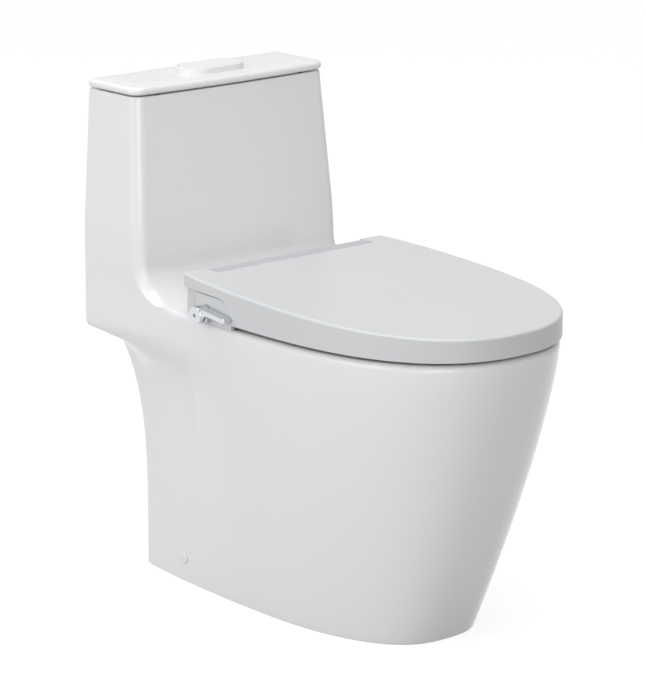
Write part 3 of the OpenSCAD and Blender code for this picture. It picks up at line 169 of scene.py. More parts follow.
# %% Metals
lever_chrome = finish_of("abs_chrome_plated", "#DADCDE", "#D5D7DA", 30, 4, 0.002, 0.12, metallic=1.0,
                         wear=0.04)
brass_chrome = finish_of("brass_chrome_plated", "#D8D9DB", "#CFD0D3", 30, 3, 0.004, 0.16, metallic=1.0)
steel_drawn = finish_of("stainless_steel_drawn", "#B9BABC", "#A9ABAE", 24, 0.8, 0.01, 0.34, metallic=1.0,
                        stretch=(1, 1, 0.1))

# %% [markdown]
# Inside, the parts are what a plumber knows: EPDM rubber seals with a dull, slightly mottled skin, nylon
# nuts, polypropylene valves in white and pale blue, and a grey float.

# %% Inner finishes
rubber_black = finish_of("epdm_rubber_moulded", "#26272A", "#303135", 12, 0.7, 0.03, 0.72, ior=1.52)
buffer_rubber = finish_of("tpe_moulded", "#C4C5C6", "#BBBCBE", 12, 0.9, 0.02, 0.6)
nylon_natural = finish_of("nylon_moulded", "#DDD9CE", "#D4CFC2", 18, 1.2, 0.015, 0.48, ior=1.53)
valve_white = finish_of("acetal_moulded_white", "#E4E4DF", "#DBDBD5", 26, 1.4, 0.012, 0.42, ior=1.48)
valve_blue = finish_of("polypropylene_moulded_blue", "#86A6C2", "#7B9CBA", 26, 1.4, 0.012, 0.4, ior=1.49)
float_grey = finish_of("polypropylene_moulded_grey", "#A2A6AA", "#979BA0", 26, 1.4, 0.012, 0.46, ior=1.49)
valve_grey = finish_of("acetal_moulded_grey", "#75787C", "#6B6E73", 20, 1.2, 0.012, 0.45, ior=1.48)
damper_grey = finish_of("abs_moulded_dark", "#4A4B4F", "#424347", 16, 1.0, 0.012, 0.45, ior=1.53)
spindle_black = finish_of("nylon_glass_filled", "#333437", "#3B3C40", 10, 0.6, 0.02, 0.55, ior=1.53)
hose_white = finish_of("silicone_extruded", "#D9DBDB", "#D0D3D3", 20, 1.4, 0.01, 0.5, ior=1.43)
mark_grey = finish_of("abs_moulded_grey", "#7E8187", "#787B81", 8, 0.8, 0.004, 0.3, ior=1.53)

CAD_FINISHES = {
    rubber_black: ["outlet_seal", "fill_valve_washer", "flush_valve_gasket", "canister_seal", "tank_lid_pads",
                   "seat_bolt_sleeves"],
    steel_drawn: ["floor_brackets", "side_screws", "flush_valve_screws", "mounting_plate", "seat_bolts",
                  "hinge_pins", "full_button_spring", "half_button_spring", "nozzle_springs"],
    nylon_natural: ["side_bushes", "fill_valve_nut", "seat_bolt_nuts", "flush_plate_nut"],
    valve_white: ["fill_valve_body", "fill_valve_cap", "float_arm", "flush_valve_base", "tower_head",
                  "full_push_rod", "half_push_rod"],
    valve_blue: ["flush_cage", "flush_canister", "overflow_pipe"],
    float_grey: ["fill_float", "half_flush_float"],
    hose_white: ["refill_tube", "bidet_hoses"],
    buffer_rubber: ["seat_bumpers", "lid_bumpers"],
    damper_grey: ["lid_damper", "seat_damper"],
    valve_grey: ["selector_valve", "nozzle_carrier"],
    brass_chrome: ["inlet_fitting"],
    spindle_black: ["lever_spindle"],
    mark_grey: ["lever_mark"],
    nozzle_plastic: ["rear_nozzle", "front_nozzle", "nozzle_guard"],
    glazed_china: ["china_cistern", "china_pedestal", "china_bowl", "tank_lid"],
    trim_plastic: ["side_caps", "flush_plate", "full_button", "half_button"],
    seat_plastic: ["unit_lower_shell", "unit_top_cover", "seat_ring", "seat_lid"],
    lever_chrome: ["selector_lever"],
}
for material, names in CAD_FINISHES.items():
    for name in names:
        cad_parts[name].data.materials.clear()
        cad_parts[name].data.materials.append(material)
print("CAD nodes with a finish:", sum(len(names) for names in CAD_FINISHES.values()))

# %% [markdown]
# ## Outlines
# The toilet's curves come from a few formulas. The seat and the rim share one egg: straight and narrower
# at the back, widest at three tenths of its length, and round at the front. Distances `d` count from the
# flat back of the cistern, and the frame's origin lies 285 mm in front of that, over the outlet.

# %% Outline helpers
SETBACK = 285


def at(d):
    return SETBACK - d


def mix(a, b, share):
    return a + (b - a) * share


def clamp(v):
    return min(max(v, 0.0), 1.0)


def ease(v):
    """A smooth step from 0 to 1."""
    c = clamp(v)
    return c * c * (3 - 2 * c)


def curve_at(rows, i, t):
    """The numbers at share t of the way from row i to the next, on a smooth curve through all rows."""
    near = [rows[max(i - 1, 0)], rows[i], rows[i + 1], rows[min(i + 2, len(rows) - 1)]]
    return [0.5 * (2 * b + (c - a) * t + (2 * a - 5 * b + 4 * c - e) * t ** 2
                   + (3 * b - a - 3 * c + e) * t ** 3) for a, b, c, e in zip(*near)]


def arc(middle, radius, start, end, steps):
    """Points on a circle round the middle, from one angle in degrees to another."""
    turns = [math.radians(mix(start, end, i / steps)) for i in range(steps + 1)]
    return [(middle[0] + radius * math.cos(f), middle[1] + radius * math.sin(f)) for f in turns]


def round_over(radius, degrees):
    """A rounded top edge, as pairs of how far in and how far up."""
    turns = [math.radians(f) for f in degrees]
    return [(radius * (1 - math.cos(f)), radius * math.sin(f)) for f in turns]


def round_under(radius, degrees):
    """A rounded bottom edge, in the same way."""
    turns = [math.radians(f) for f in degrees]
    return [(radius * (1 - math.sin(f)), radius * (1 - math.cos(f))) for f in turns]


def rear_corner(w, d, r):
    """The round corner of a half outline of half width w that begins at distance d."""
    return arc((w - r, d + r), r, -90, 0, 6)


def egg(s, rear_w, wide_w, wide_at=0.3, p=2.8, q=2.3):
    """Half width of an egg-shaped outline at share s of its length."""
    if s < wide_at:
        return wide_w / 2 - (wide_w - rear_w) / 2 * ((wide_at - s) / wide_at) ** 2
    return wide_w / 2 * max(1 - ((s - wide_at) / (1 - wide_at)) ** p, 0.0) ** (1 / q)


def closed(half, z):
    """A closed ring from a half outline of (half width, distance), which runs from the middle of the
    back to the front tip. The height z is a number, or a function of the distance."""
    height = z if callable(z) else (lambda d: z)
    left = [(-x, at(d), height(d)) for x, d in half]
    right = [(x, at(d), height(d)) for x, d in half[-2:0:-1]]
    return left + right


def drawn_in(half, by):
    """The half outline moved inwards by a number, or by a function of the distance from the back."""
    out = []
    for i, (x, d) in enumerate(half):
        b = by(d) if callable(by) else by
        if i in (0, len(half) - 1):
            out.append((0.0, d + (b if i == 0 else -b)))
            continue
        (x0, d0), (x1, d1) = half[i - 1], half[i + 1]
        length = math.hypot(x1 - x0, d1 - d0) or 1.0
        out.append((x - b * (d1 - d0) / length, d + b * (x1 - x0) / length))
    return out


# %% [markdown]
# ## Modelling helpers
# A skin is a grid primitive that is rolled up: each row of its points is one ring of the form, the seam
# is merged, and the two open ends are filled. A plate is a polygon that is extruded straight. Cuts and
# joints are Boolean modifiers, applied at once. A bevel then breaks the edges, because no real edge is
# sharp.

# %% Modelling helpers
MERGE = 0.00001


def pick(piece):
    bpy.ops.object.select_all(action="DESELECT")
    piece.select_set(True)
    bpy.context.view_layer.objects.active = piece


def apply_modifier(piece, kind, **settings):
    pick(piece)
    modifier = piece.modifiers.new(kind.lower(), kind)
    for name, value in settings.items():
        setattr(modifier, name, value)
    bpy.ops.object.modifier_apply(modifier=modifier.name)


def named(name):
    """The object that was just added, under a name of its own."""
    piece = bpy.context.object
    piece.name = piece.data.name = name
    return piece


def edit(piece, action="SELECT"):
    pick(piece)
    bpy.ops.object.mode_set(mode="EDIT")
    bpy.ops.mesh.select_all(action=action)


def face_outwards(piece):
    """Merges what lies in one place and turns every face outwards."""
    edit(piece)
    bpy.ops.mesh.remove_doubles(threshold=MERGE)
    bpy.ops.mesh.normals_make_consistent(inside=False)
    bpy.ops.object.mode_set(mode="OBJECT")


def skin(name, rings):
    """A skin through rings that have the same number of points, in millimetres."""
    count = len(rings[0])
    bpy.ops.mesh.primitive_grid_add(x_subdivisions=count, y_subdivisions=len(rings) - 1, size=1)
    piece = named(name)
    flat = [c / 1000 for ring in rings for point in list(ring) + [ring[0]] for c in point]
    piece.data.vertices.foreach_set("co", flat)
    piece.data.update()
    face_outwards(piece)
    return piece


def capped(name, rings):
    """A skin whose two end rings are closed with a face each."""
    piece = skin(name, rings)
    edit(piece, "DESELECT")
    bpy.ops.mesh.select_non_manifold(extend=False)
    bpy.ops.mesh.fill_holes(sides=len(rings[0]) + 1)
    bpy.ops.object.mode_set(mode="OBJECT")
    face_outwards(piece)
    return piece


def plate(name, outline, depth):
    """A polygon of points (x, y, z) in millimetres, extruded by the vector depth."""
    bpy.ops.mesh.primitive_circle_add(vertices=len(outline), radius=1, fill_type="NGON")
    piece = named(name)
    piece.data.vertices.foreach_set("co", [c / 1000 for point in outline for c in point])
    piece.data.update()
    edit(piece)
    bpy.ops.mesh.extrude_region_move(TRANSFORM_OT_translate={"value": [c / 1000 for c in depth]})
    bpy.ops.object.mode_set(mode="OBJECT")
    face_outwards(piece)
    return piece


def side_plate(name, x0, x1, profile):
    """A side profile of (distance, height) as a solid between x0 and x1."""
    return plate(name, [(x0, at(d), z) for d, z in profile], (x1 - x0, 0, 0))


def rod(name, centre, radius, length, axis="Z", sides=64, radius_end=None):
    """A round bar that starts at centre and runs along an axis."""
    bpy.ops.mesh.primitive_cone_add(vertices=sides, radius1=radius / 1000, depth=length / 1000,
                                    radius2=(radius if radius_end is None else radius_end) / 1000)
    piece = named(name)
    tilt = {"Z": Matrix(), "X": Matrix.Rotation(math.pi / 2, 4, "Y"),
            "-X": Matrix.Rotation(-math.pi / 2, 4, "Y"), "Y": Matrix.Rotation(-math.pi / 2, 4, "X")}[axis]
    move = Matrix.Translation([c / 1000 for c in centre]) @ tilt @ Matrix.Translation((0, 0, length / 2000))
    piece.data.transform(move)
    return piece


def box(name, low, high):
    bpy.ops.mesh.primitive_cube_add(size=1)
    piece = named(name)
    size = [(b - a) / 1000 for a, b in zip(low, high)]
    middle = [(a + b) / 2000 for a, b in zip(low, high)]
    piece.data.transform(Matrix.Translation(middle) @ Matrix.Diagonal((*size, 1)))
    return piece


def cut(piece, *tools, operation="DIFFERENCE"):
    for tool in tools:
        apply_modifier(piece, "BOOLEAN", object=tool, operation=operation, solver="MANIFOLD")
        bpy.data.objects.remove(tool, do_unlink=True)
    return piece


def join(piece, *tools):
    return cut(piece, *tools, operation="UNION")


def soften(piece, width_mm, segments=3, angle=32, smooth=35):
    """Breaks the sharp edges and smooths what is nearly level."""
    if width_mm:
        apply_modifier(piece, "BEVEL", width=width_mm / 1000, segments=segments, limit_method="ANGLE",
                       angle_limit=math.radians(angle))
    pick(piece)
    bpy.ops.object.shade_smooth_by_angle(angle=math.radians(smooth))
    apply_modifier(piece, "WEIGHTED_NORMAL", keep_sharp=True, weight=60)
    return piece


def settle(piece, material, body, *nodes, slot=None):
    """Gives a finished piece its material and its body, and hides the CAD nodes that it stands for."""
    piece.data.materials.clear()
    piece.data.materials.append(material)
    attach(piece, body)
    if nodes:
        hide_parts(*nodes)
    print(piece.name, len(piece.data.polygons), "faces")


# %% [markdown]
# ## The china body
# The bowl, the skirt and the cistern are one casting. It could be built from blocks, but its sides flow
# from the rim's egg down to a slimmer foot, and the cistern sweeps into the deck in one curve. So it is a
# skin through rings: each ring is a mix of the rim's outline and the foot's, and the mix changes with the
# height.

# %% Rings of the skirt
RIM_Z, RIM_FRONT, RIM_W = 409, 676.5, 373
BACK_W, NECK_W, NECK_D = 359, 351, 214.4
FOOT_BACK, FOOT_FRONT = 25, 549
FOOT_EGG = (186, 238, 0.6, 2.06, 2.8)
CORNER_R = 8
SIDE_STEPS, BEND_STEPS, FRONT_STEPS = 20, 22, 54
SIDE_END, DECK_END = 158.5, 214
RIM_DS = [mix(CORNER_R, SIDE_END, (i + 1) / SIDE_STEPS) for i in range(SIDE_STEPS)]
RIM_DS += [mix(SIDE_END, DECK_END, (i + 1) / BEND_STEPS) for i in range(BEND_STEPS)]
RIM_DS += [mix(DECK_END, RIM_FRONT, 1 - (1 - (i + 1) / FRONT_STEPS) ** 2) for i in range(FRONT_STEPS)]


def rim_w(d):
    """Half the rim's width: straight beside the cistern, then the egg, with a soft turn between them."""
    straight = mix(BACK_W / 2, NECK_W / 2, d / NECK_D)
    curved = egg(clamp((d - NECK_D) / (RIM_FRONT - NECK_D)), NECK_W, RIM_W)
    return mix(straight, curved, ease((d - 190) / 50))


# %% [markdown]
# The share says where a point lies between the rim's outline, 0, and the foot's, 1. In front it follows
# one power curve. At the back the skirt leans out as it rises and turns in a hollow to the cistern's
# rounded underside. Further forward the same step is drawn out and fades away.

# %% Share of the foot in each ring
UNDER_Z, DRAW_TOP, DRAW_POWER = 342, 400, 1.31
LEAN, LEAN_POWER = 0.51, 3.87
HOLLOW_H, UNDER_SHARE, UNDER_R = 30, 0.14, 12
SOFT_BELOW, SOFT_H = 50, 75


def leaning(z):
    """The share of the leaning back, up to the underside."""
    return 1 - LEAN * (max(z, 0.0) / UNDER_Z) ** LEAN_POWER


def soft_share(z):
    """The drawn-out step: from the leaning share to the rim over SOFT_H."""
    return leaning(min(z, UNDER_Z)) * (1 - ease((z - UNDER_Z + SOFT_BELOW) / SOFT_H))


def rear_share(z):
    """The step at the back: the hollow below the underside, then its rounded edge, then the rim."""
    up = z - UNDER_Z - 1
    if up > UNDER_R:
        return 0.0
    if up > 0:
        return UNDER_SHARE * (1 - math.sqrt(1 - (1 - up / UNDER_R) ** 2))
    return mix(leaning(z), UNDER_SHARE, max(up / HOLLOW_H + 1, 0.0) ** 4)


def skirt_point(d_rim, z, wall):
    """The skirt's point at a height that belongs to a point of the rim, drawn in by a wall."""
    s = d_rim / RIM_FRONT
    t = 1 - math.sqrt(max(1 - s, 0.0))
    lower = z - mix(9, 3, ease(d_rim / 80))
    rear = mix(rear_share(lower), soft_share(lower), ease((t - 0.003) / 0.077))
    share = mix(rear, (max(DRAW_TOP - z, 0.0) / DRAW_TOP) ** DRAW_POWER, ease(t / 0.3))
    w = 0.0 if s >= 1.0 else mix(rim_w(d_rim), egg(s, *FOOT_EGG), share)
    d = mix(d_rim, mix(FOOT_BACK, FOOT_FRONT, s), share)
    return (w - wall * min(w / 30, 1.0), mix(d + wall, d - wall, s))


def skirt_half(z, wall=0.0):
    corner_w, corner_d = skirt_point(0.0, z, wall)
    side = [skirt_point(d, z, wall) for d in RIM_DS]
    return [(0.0, corner_d)] + rear_corner(corner_w, corner_d, CORNER_R) + side


# %% Rings of the cistern
CISTERN_TOP, SWEEP_R, TAPER_Z = 685, 52, 500
TOP_W, FRONT_LOW, FRONT_TOP = 337, 124.5, 105.5
CISTERN_BOW, FRONT_R, TOP_R = 5, 18, 2


def cistern_w(z):
    """Half the cistern's width, which shrinks above TAPER_Z."""
    return mix(BACK_W, TOP_W, clamp((z - TAPER_Z) / (CISTERN_TOP - TAPER_Z))) / 2


def cistern_d(z):
    """Distance of the front's ends, where the bow begins. The front leans back above the sweep."""
    return mix(FRONT_LOW, FRONT_TOP, clamp((z - RIM_Z - SWEEP_R) / (CISTERN_TOP - RIM_Z - SWEEP_R)))


def sweep(z):
    """How far the curve between the deck and the cistern's front stands forward."""
    up = clamp((RIM_Z + SWEEP_R - z) / SWEEP_R)
    return SWEEP_R * (1 - math.sqrt(max(1 - up * up, 0.0)))


def cistern_half(w, d0, d1, rear_r, front_r, blend=0.0):
    """Half outline of the cistern. With blend, the side follows the rim below it."""
    side = [(w, mix(d0 + rear_r, d1 - front_r, (i + 1) / SIDE_STEPS)) for i in range(SIDE_STEPS)]
    bend = arc((w - front_r, d1 - front_r), front_r, 0, 90, BEND_STEPS)[1:]
    across = [1 - (i + 1) / FRONT_STEPS for i in range(FRONT_STEPS)]
    front = [((w - front_r) * share, d1 + CISTERN_BOW * (1 - share ** 2)) for share in across]
    half = [(0.0, d0)] + rear_corner(w, d0, rear_r) + side + bend + front
    if blend:
        half = [(mix(x, x * rim_w(min(d, 210.0)) / (BACK_W / 2), blend), d) for x, d in half]
    return half


def body_half(z):
    """The cistern's half outline at a height, swept out to the deck and joined to the rim's sides."""
    return cistern_half(cistern_w(z), 0.0, cistern_d(z) + sweep(z), CORNER_R, FRONT_R,
                        blend=1 - ease((z - RIM_Z) / 60))


# %% [markdown]
# The rings run from the foot to the rim, turn over the rim's rounded edge, cross the flat deck, and climb
# the cistern. The rim is sharp-edged at the back, where the cistern's side goes straight on, and rounded
# from the deck forwards.

# %% Outer skin of the china
FOOT_R, EDGE_R, EDGE_FROM, EDGE_FULL = 3, 8, 166, 210


def rim_edge(d):
    """How much of the rim's rounding there is at a distance, from 0 to 1."""
    return ease((d - EDGE_FROM) / (EDGE_FULL - EDGE_FROM))


rings = [closed(drawn_in(skirt_half(up), inset), up) for inset, up in round_under(FOOT_R, (0, 30, 60))]
heights = [3, 12, 24] + list(range(36, 312, 12)) + list(range(315, 339, 3)) + list(range(340, 366))
heights += [368, 371, 375, 380, 387, 394, 399]
rings += [closed(skirt_half(z), z) for z in heights]
for inset, up in round_over(EDGE_R, range(0, 91, 15)):
    z = RIM_Z - EDGE_R + up
    rings.append(closed(drawn_in(skirt_half(z), lambda d: inset * rim_edge(d)), z))
heights = [RIM_Z + SWEEP_R * (1 - math.cos(math.radians(f))) for f in [0] + list(range(6, 91, 7))]
heights += [475, 490, 500, 510, 530, 560, 600, 640, 670, 680, 683]
rings += [closed(body_half(z), z) for z in heights]
for inset, up in round_over(TOP_R, (30, 60, 90)):
    z = CISTERN_TOP - TOP_R + up
    rings.append(closed(drawn_in(body_half(z), inset), z))
china = capped("china", rings)

# %% [markdown]
# The casting is hollow. Water fills the cistern, the bowl drains through a trap that climbs over a weir
# and drops to the floor outlet, and the skirt hides the trap behind a service opening at the back. Each
# hollow is a skin or a swept tube of its own that is cut out of the body.

# %% Hollows and the trap
WALL, DECK_T, VALVE_D = 12, 15, 58
BOWL_MID, BOWL_L, BOWL_W, BOWL_LOW = 454, 356, 260, 150
BOWL_RINGS = [(0, 0.22, 0.26, 28), (0.06, 0.29, 0.34, 26), (0.18, 0.38, 0.43, 22), (0.32, 0.53, 0.57, 15),
              (0.46, 0.69, 0.72, 9), (0.62, 0.84, 0.86, 4), (0.78, 0.93, 0.95, 1), (0.92, 0.985, 0.99, 0),
              (1.0, 1.0, 1.0, 0)]


def between(rows, share):
    """The numbers of the rows at any share. A row begins with its own share."""
    i = max(k for k in range(len(rows) - 1) if rows[k][0] <= share)
    return curve_at(rows, i, (share - rows[i][0]) / (rows[i + 1][0] - rows[i][0]))[1:]


def bowl_ring(length, width, middle, z):
    turns = [math.radians(f) for f in range(0, 181, 4)]
    return closed([(width / 2 * math.sin(f) ** 0.9, middle - length / 2 * math.cos(f)) for f in turns], z)


def bowl(name, grow, top, lip=0.0):
    """The bowl's form, grown on all sides, up to a height. With a lip, its upper edge turns outwards."""
    found = []
    for share in [i / 24 for i in range(24)]:
        length, width, shift = between(BOWL_RINGS, share)
        found.append(bowl_ring(BOWL_L * length + 2 * grow, BOWL_W * width + 2 * grow, BOWL_MID - shift,
                               mix(BOWL_LOW, RIM_Z, share) - grow))
    edge = [(out, RIM_Z - lip + up) for out, up in round_over(lip, range(0, 91, 15))] if lip else []
    for out, z in edge + [(grow + lip, top)]:
        found.append(bowl_ring(BOWL_L + 2 * out, BOWL_W + 2 * out, BOWL_MID, z))
    return capped(name, found)


TRAP_R, WEIR_R, TURN_R, CLIMB, RISE = 26, 35.5, 40, 45, 75
TRAP_LOW = BOWL_LOW + TRAP_R
rise_cos, rise_sin = math.cos(math.radians(RISE)), math.sin(math.radians(RISE))
turn_at = SETBACK + WEIR_R * (1 + rise_sin) + CLIMB * rise_cos + TURN_R * rise_sin
weir = (SETBACK + WEIR_R, TRAP_LOW + TURN_R * (1 - rise_cos) + CLIMB * rise_sin - WEIR_R * rise_cos)


def trap_path(end_z):
    """The trap's middle line: level from the bowl, up the rise, over the weir and down to the outlet."""
    start = BOWL_MID - 22
    path = [(start, TRAP_LOW), (mix(start, turn_at, 0.5), TRAP_LOW)]
    path += arc((turn_at, TRAP_LOW + TURN_R), TURN_R, -90, -90 - RISE, 12)
    path += arc(weir, WEIR_R, 90 - RISE, 180, 24)
    return path + [(SETBACK, mix(weir[1], end_z, 0.5)), (SETBACK, end_z)]


def trap_tube(name, end_z, radius):
    path = trap_path(end_z)
    circle = arc((0.0, 0.0), radius, 90, -270, 40)[:-1]
    found = []
    for k, (d, z) in enumerate(path):
        (d0, z0), (d1, z1) = path[max(k - 1, 0)], path[min(k + 1, len(path) - 1)]
        length = math.hypot(d1 - d0, z1 - z0)
        found.append([(across, at(d - up * (z1 - z0) / length), z + up * (d1 - d0) / length)
                      for across, up in circle])
    return capped(name, found)


WAY_R, WAY_FRONT, WAY_Z, WAY_H = 24, 288, 344, 20


def flush_way(name, grow):
    """The flat way from the flush valve to the bowl, a little wider at the valve."""
    r = WAY_R + grow
    outline = arc((0.0, VALVE_D), r + 6, 0, -180, 24) + arc((0.0, WAY_FRONT), r, -180, -360, 24)
    return plate(name, [(x, at(d), WAY_Z - grow) for x, d in outline], (0, 0, WAY_H + 2 * grow))


# %% Cut the hollows
SERVICE_R, SERVICE_D, SERVICE_Z = 60, 85, 190
KEEP_X, KEEP_D, KEEP_REAR_D = 359, 143.5, 36

heights = [-1, 20, 40, 65, 90, 120, 150, 180, 210, 240, 260, 280, 300, 315, 330, 362, 394]
hollow = capped("hollow", [closed(skirt_half(z, WALL), z) for z in heights])
cut(hollow, box("keep_cistern", (-KEEP_X, at(KEEP_D), 362), (KEEP_X, at(KEEP_D) + 170, 462)),
    box("keep_rear", (-KEEP_X, at(KEEP_REAR_D), 322), (KEEP_X, at(KEEP_REAR_D) + 65, 422)))
service = side_plate("service", -SERVICE_R, SERVICE_R,
                     [(-1, -1), (SERVICE_D, -1), (SERVICE_D, SERVICE_Z), (-1, SERVICE_Z)])
join(service, rod("service_top", (0, at(SERVICE_D), SERVICE_Z), SERVICE_R, SERVICE_D + 1, "Y"))
cut(china, hollow, service)
join(china, bowl("bowl_wall", WALL - 2, RIM_Z - DECK_T / 2), trap_tube("trap_wall", 12, TRAP_R + 11),
     flush_way("way_wall", 8))
heights = [378, 400, 438, 470, 500, 560, 620, 686]
chamber = capped("chamber", [closed(cistern_half(cistern_w(z) - WALL, WALL, cistern_d(z) - WALL, 14, 6), z)
                             for z in heights])
cut(china, chamber, bowl("bowl_hollow", 0, RIM_Z + 1, lip=5), trap_tube("trap_hollow", -1, TRAP_R),
    flush_way("way_hollow", 0))

# %% Holes for valves, bolts and side screws
FIX_X, FIX_D, FIX_Z = 109.929, 132, 36
BOLT_X, BOLT_D, FILL_X, SCREW_X = 77.5, 251, -92, 37
for side in (-1, 1):
    cut(china, rod("bolt_hole", (side * BOLT_X, at(BOLT_D), 393), 8, 17))
    cut(china, rod("side_hole", (side * (FIX_X - 16), at(FIX_D), FIX_Z), 6, 22, "X" if side > 0 else "-X"))
    cut(china, rod("screw_hole", (side * SCREW_X, at(VALVE_D), 365), 2.7, 20, sides=24))
cut(china, rod("outlet_hole", (0, at(VALVE_D), 354), 31, 60),
    rod("fill_hole", (FILL_X, at(VALVE_D), 361), 11.45, 40))
soften(china, 0, smooth=32)
settle(china, glazed_china, "toilet", "china_cistern", "china_pedestal", "china_bowl", slot="china")

# %% [markdown]
# ## The cistern lid
# The lid is a slab of the same china with a fully rounded edge, slightly crowned so that water runs off.
# It overhangs the cistern by two millimetres, and a lip under it keeps it in place. It could be a
# bevelled block, but its front is bowed like the cistern's, so it is a skin through the same outline.

# %% Cistern lid
LID_Z, LID_T, OVERHANG = 687, 11, 2
LOWER_R, UPPER_R, LID_CROWN = 4, 6, 1.5


def tank_lid_ring(inset, z):
    out = OVERHANG - inset
    return closed(cistern_half(TOP_W / 2 + out, 0.2 + inset, FRONT_TOP + out, max(9 - inset, 1.5),
                               max(19 - inset, 3)), z)


rings = [tank_lid_ring(inset, LID_Z + up) for inset, up in round_under(LOWER_R, range(0, 91, 15))]
rings += [tank_lid_ring(inset, LID_Z + LID_T - UPPER_R + up)
          for inset, up in round_over(UPPER_R, range(15, 91, 15))]
for inset in (8, 11, 15, 20, 26, 34):
    rings.append(tank_lid_ring(inset, LID_Z + LID_T + LID_CROWN * ease((inset - 5) / 22)))
cistern_lid = capped("cistern_lid", rings)
lip = capped("lip", [closed(cistern_half(153.5, 15, 90.5, 12, 16), z) for z in (679, 688)])
lip_hollow = capped("lip_hollow", [closed(cistern_half(147.5, 21, 84.5, 8, 12), z) for z in (678, 687)])
cut(join(cistern_lid, lip), lip_hollow, rod("plate_hole", (0, at(VALVE_D), 661), 19, 60))
soften(cistern_lid, 0)
settle(cistern_lid, glazed_china, "cistern_lid", "tank_lid", slot="china")

# %% [markdown]
# ## The flush plate and its two buttons
# A low oval plate holds a large button for the full flush and a small one for half. They could be flat
# discs, but the seams between them catch the light only when every edge is rounded, so each is a
# pill-shaped slab, cut to its share of the oval and bevelled.

# %% Flush plate
PLATE_L, PLATE_W, PLATE_Z, PLATE_TOP = 104, 56, 699.5, 706.5


def pill(name, length, width, z0, z1):
    """A slab between two heights, straight at the sides and round at the ends."""
    r, reach = width / 2, (length - width) / 2
    outline = arc((reach, at(VALVE_D)), r, -90, 90, 32) + arc((-reach, at(VALVE_D)), r, 90, 270, 32)
    return plate(name, [(x, y, z0) for x, y in outline], (0, 0, z1 - z0))


flush_plate = pill("flush_plate_ring", PLATE_L, PLATE_W, PLATE_Z, PLATE_TOP)
cut(flush_plate, pill("dish", PLATE_L - 6, PLATE_W - 6, PLATE_Z + 1.2, PLATE_TOP + 5))
soften(flush_plate, 1.1, segments=4)
barrel = rod("barrel", (0, at(VALVE_D), 663), 18, 37)
cut(barrel, rod("barrel_bore", (0, at(VALVE_D), 665), 16, 60),
    *[rod("rod_hole", (side * 10, at(VALVE_D), 662), 3.06, 10, sides=32) for side in (-1, 1)])
join(flush_plate, barrel)
soften(flush_plate, 0)
settle(flush_plate, trim_plastic, "cistern_lid", "flush_plate", slot="white_trim")

# %% Flush buttons
BUTTONS = (("full_flush_button", "full_button", -3.5, 104), ("half_flush_button", "half_button", -104, -4.5))
BUTTON_T = 2
for name, body, x0, x1 in BUTTONS:
    button = pill(name, PLATE_L - 7, PLATE_W - 7, PLATE_TOP - BUTTON_T, PLATE_TOP + 0.2)
    keep = box("keep", (x0, at(VALVE_D) - 60, 690), (x1, at(VALVE_D) + 60, 720))
    cut(button, keep, operation="INTERSECT")
    soften(button, 0.6)
    settle(button, trim_plastic, body, body, slot="white_trim")

# %% [markdown]
# ## The seat lid
# The lid is a shell with a flat, sloping top, upright sides and a rounded edge. It lies over the seat
# like a cap and has a notch at the back for the hinge cover and a curved recess on each side for the
# cheeks. A flat block with bevels would lose the egg, so it is a skin again, with a crown of just over a
# millimetre, and the notch, the recesses and the hollow are cut out.

# %% Rings of the seat lid
LID_BACK, LID_L, LID_REAR_W, LID_W = 214.4, 464.7, 356, 378
LID_FRONT = LID_BACK + LID_L
LID_STEPS, LID_CORNER, LID_EDGE_R = 84, 5, 3.6


def lid_top(d):
    return mix(467.0, 443.4, (d - LID_BACK) / LID_L)


def lid_low(d):
    return mix(417.0, 413.2, (d - LID_BACK) / LID_L)


def lid_half(inset):
    """The egg, drawn in, with small round corners at its back."""
    rear_w, wide_w = LID_REAR_W - 2 * inset, LID_W - 2 * inset
    back, front = LID_BACK + inset, LID_FRONT - inset
    half = [((rear_w / 2 - LID_CORNER) * share, back) for share in (0, 0.4, 0.8)]
    half += rear_corner(rear_w / 2, back, LID_CORNER)
    for i in range(1, LID_STEPS + 1):
        d = mix(back + LID_CORNER, front, 1 - (1 - i / LID_STEPS) ** 2)
        half.append((0.0 if i == LID_STEPS else egg((d - back) / (front - back), rear_w, wide_w), d))
    return half


rings = [closed(lid_half(inset), lambda d: lid_low(d) + up)
         for inset, up in round_under(0.9, range(0, 91, 30))]
rings += [closed(lid_half(0), lambda d: mix(lid_low(d), lid_top(d), 0.5))]
for inset, up in round_over(LID_EDGE_R, range(0, 91, 15)):
    rings.append(closed(lid_half(inset), lambda d: lid_top(d) - LID_EDGE_R + up))
for inset in (6, 10, 16, 24, 34, 46, 60, 76, 94, 112, 130):
    rings.append(closed(lid_half(inset), lambda d: lid_top(d) + 1.2 * ease((inset - 3) / 70)))
seat_lid = capped("seat_lid_shell", rings)

# %% Hollow, notch and recesses of the seat lid
CHEEK_TOP, CHEEK_END, CHEEK_BACK, CHEEK_R, CHEEK_REAR_R = 447, 326, 220, 28, 5


def cheek_profile(d0, z0, grow):
    """A cheek seen from the side, from its back d0 and its foot z0, with rounded upper corners."""
    rear = arc((d0 + CHEEK_REAR_R, CHEEK_TOP + grow - CHEEK_REAR_R), CHEEK_REAR_R, 180, 90, 6)
    front = arc((CHEEK_END - CHEEK_R, CHEEK_TOP - CHEEK_R), CHEEK_R + grow, 90, 0, 18)
    return [(d0, z0)] + rear + front + [(CHEEK_END + grow, z0)]


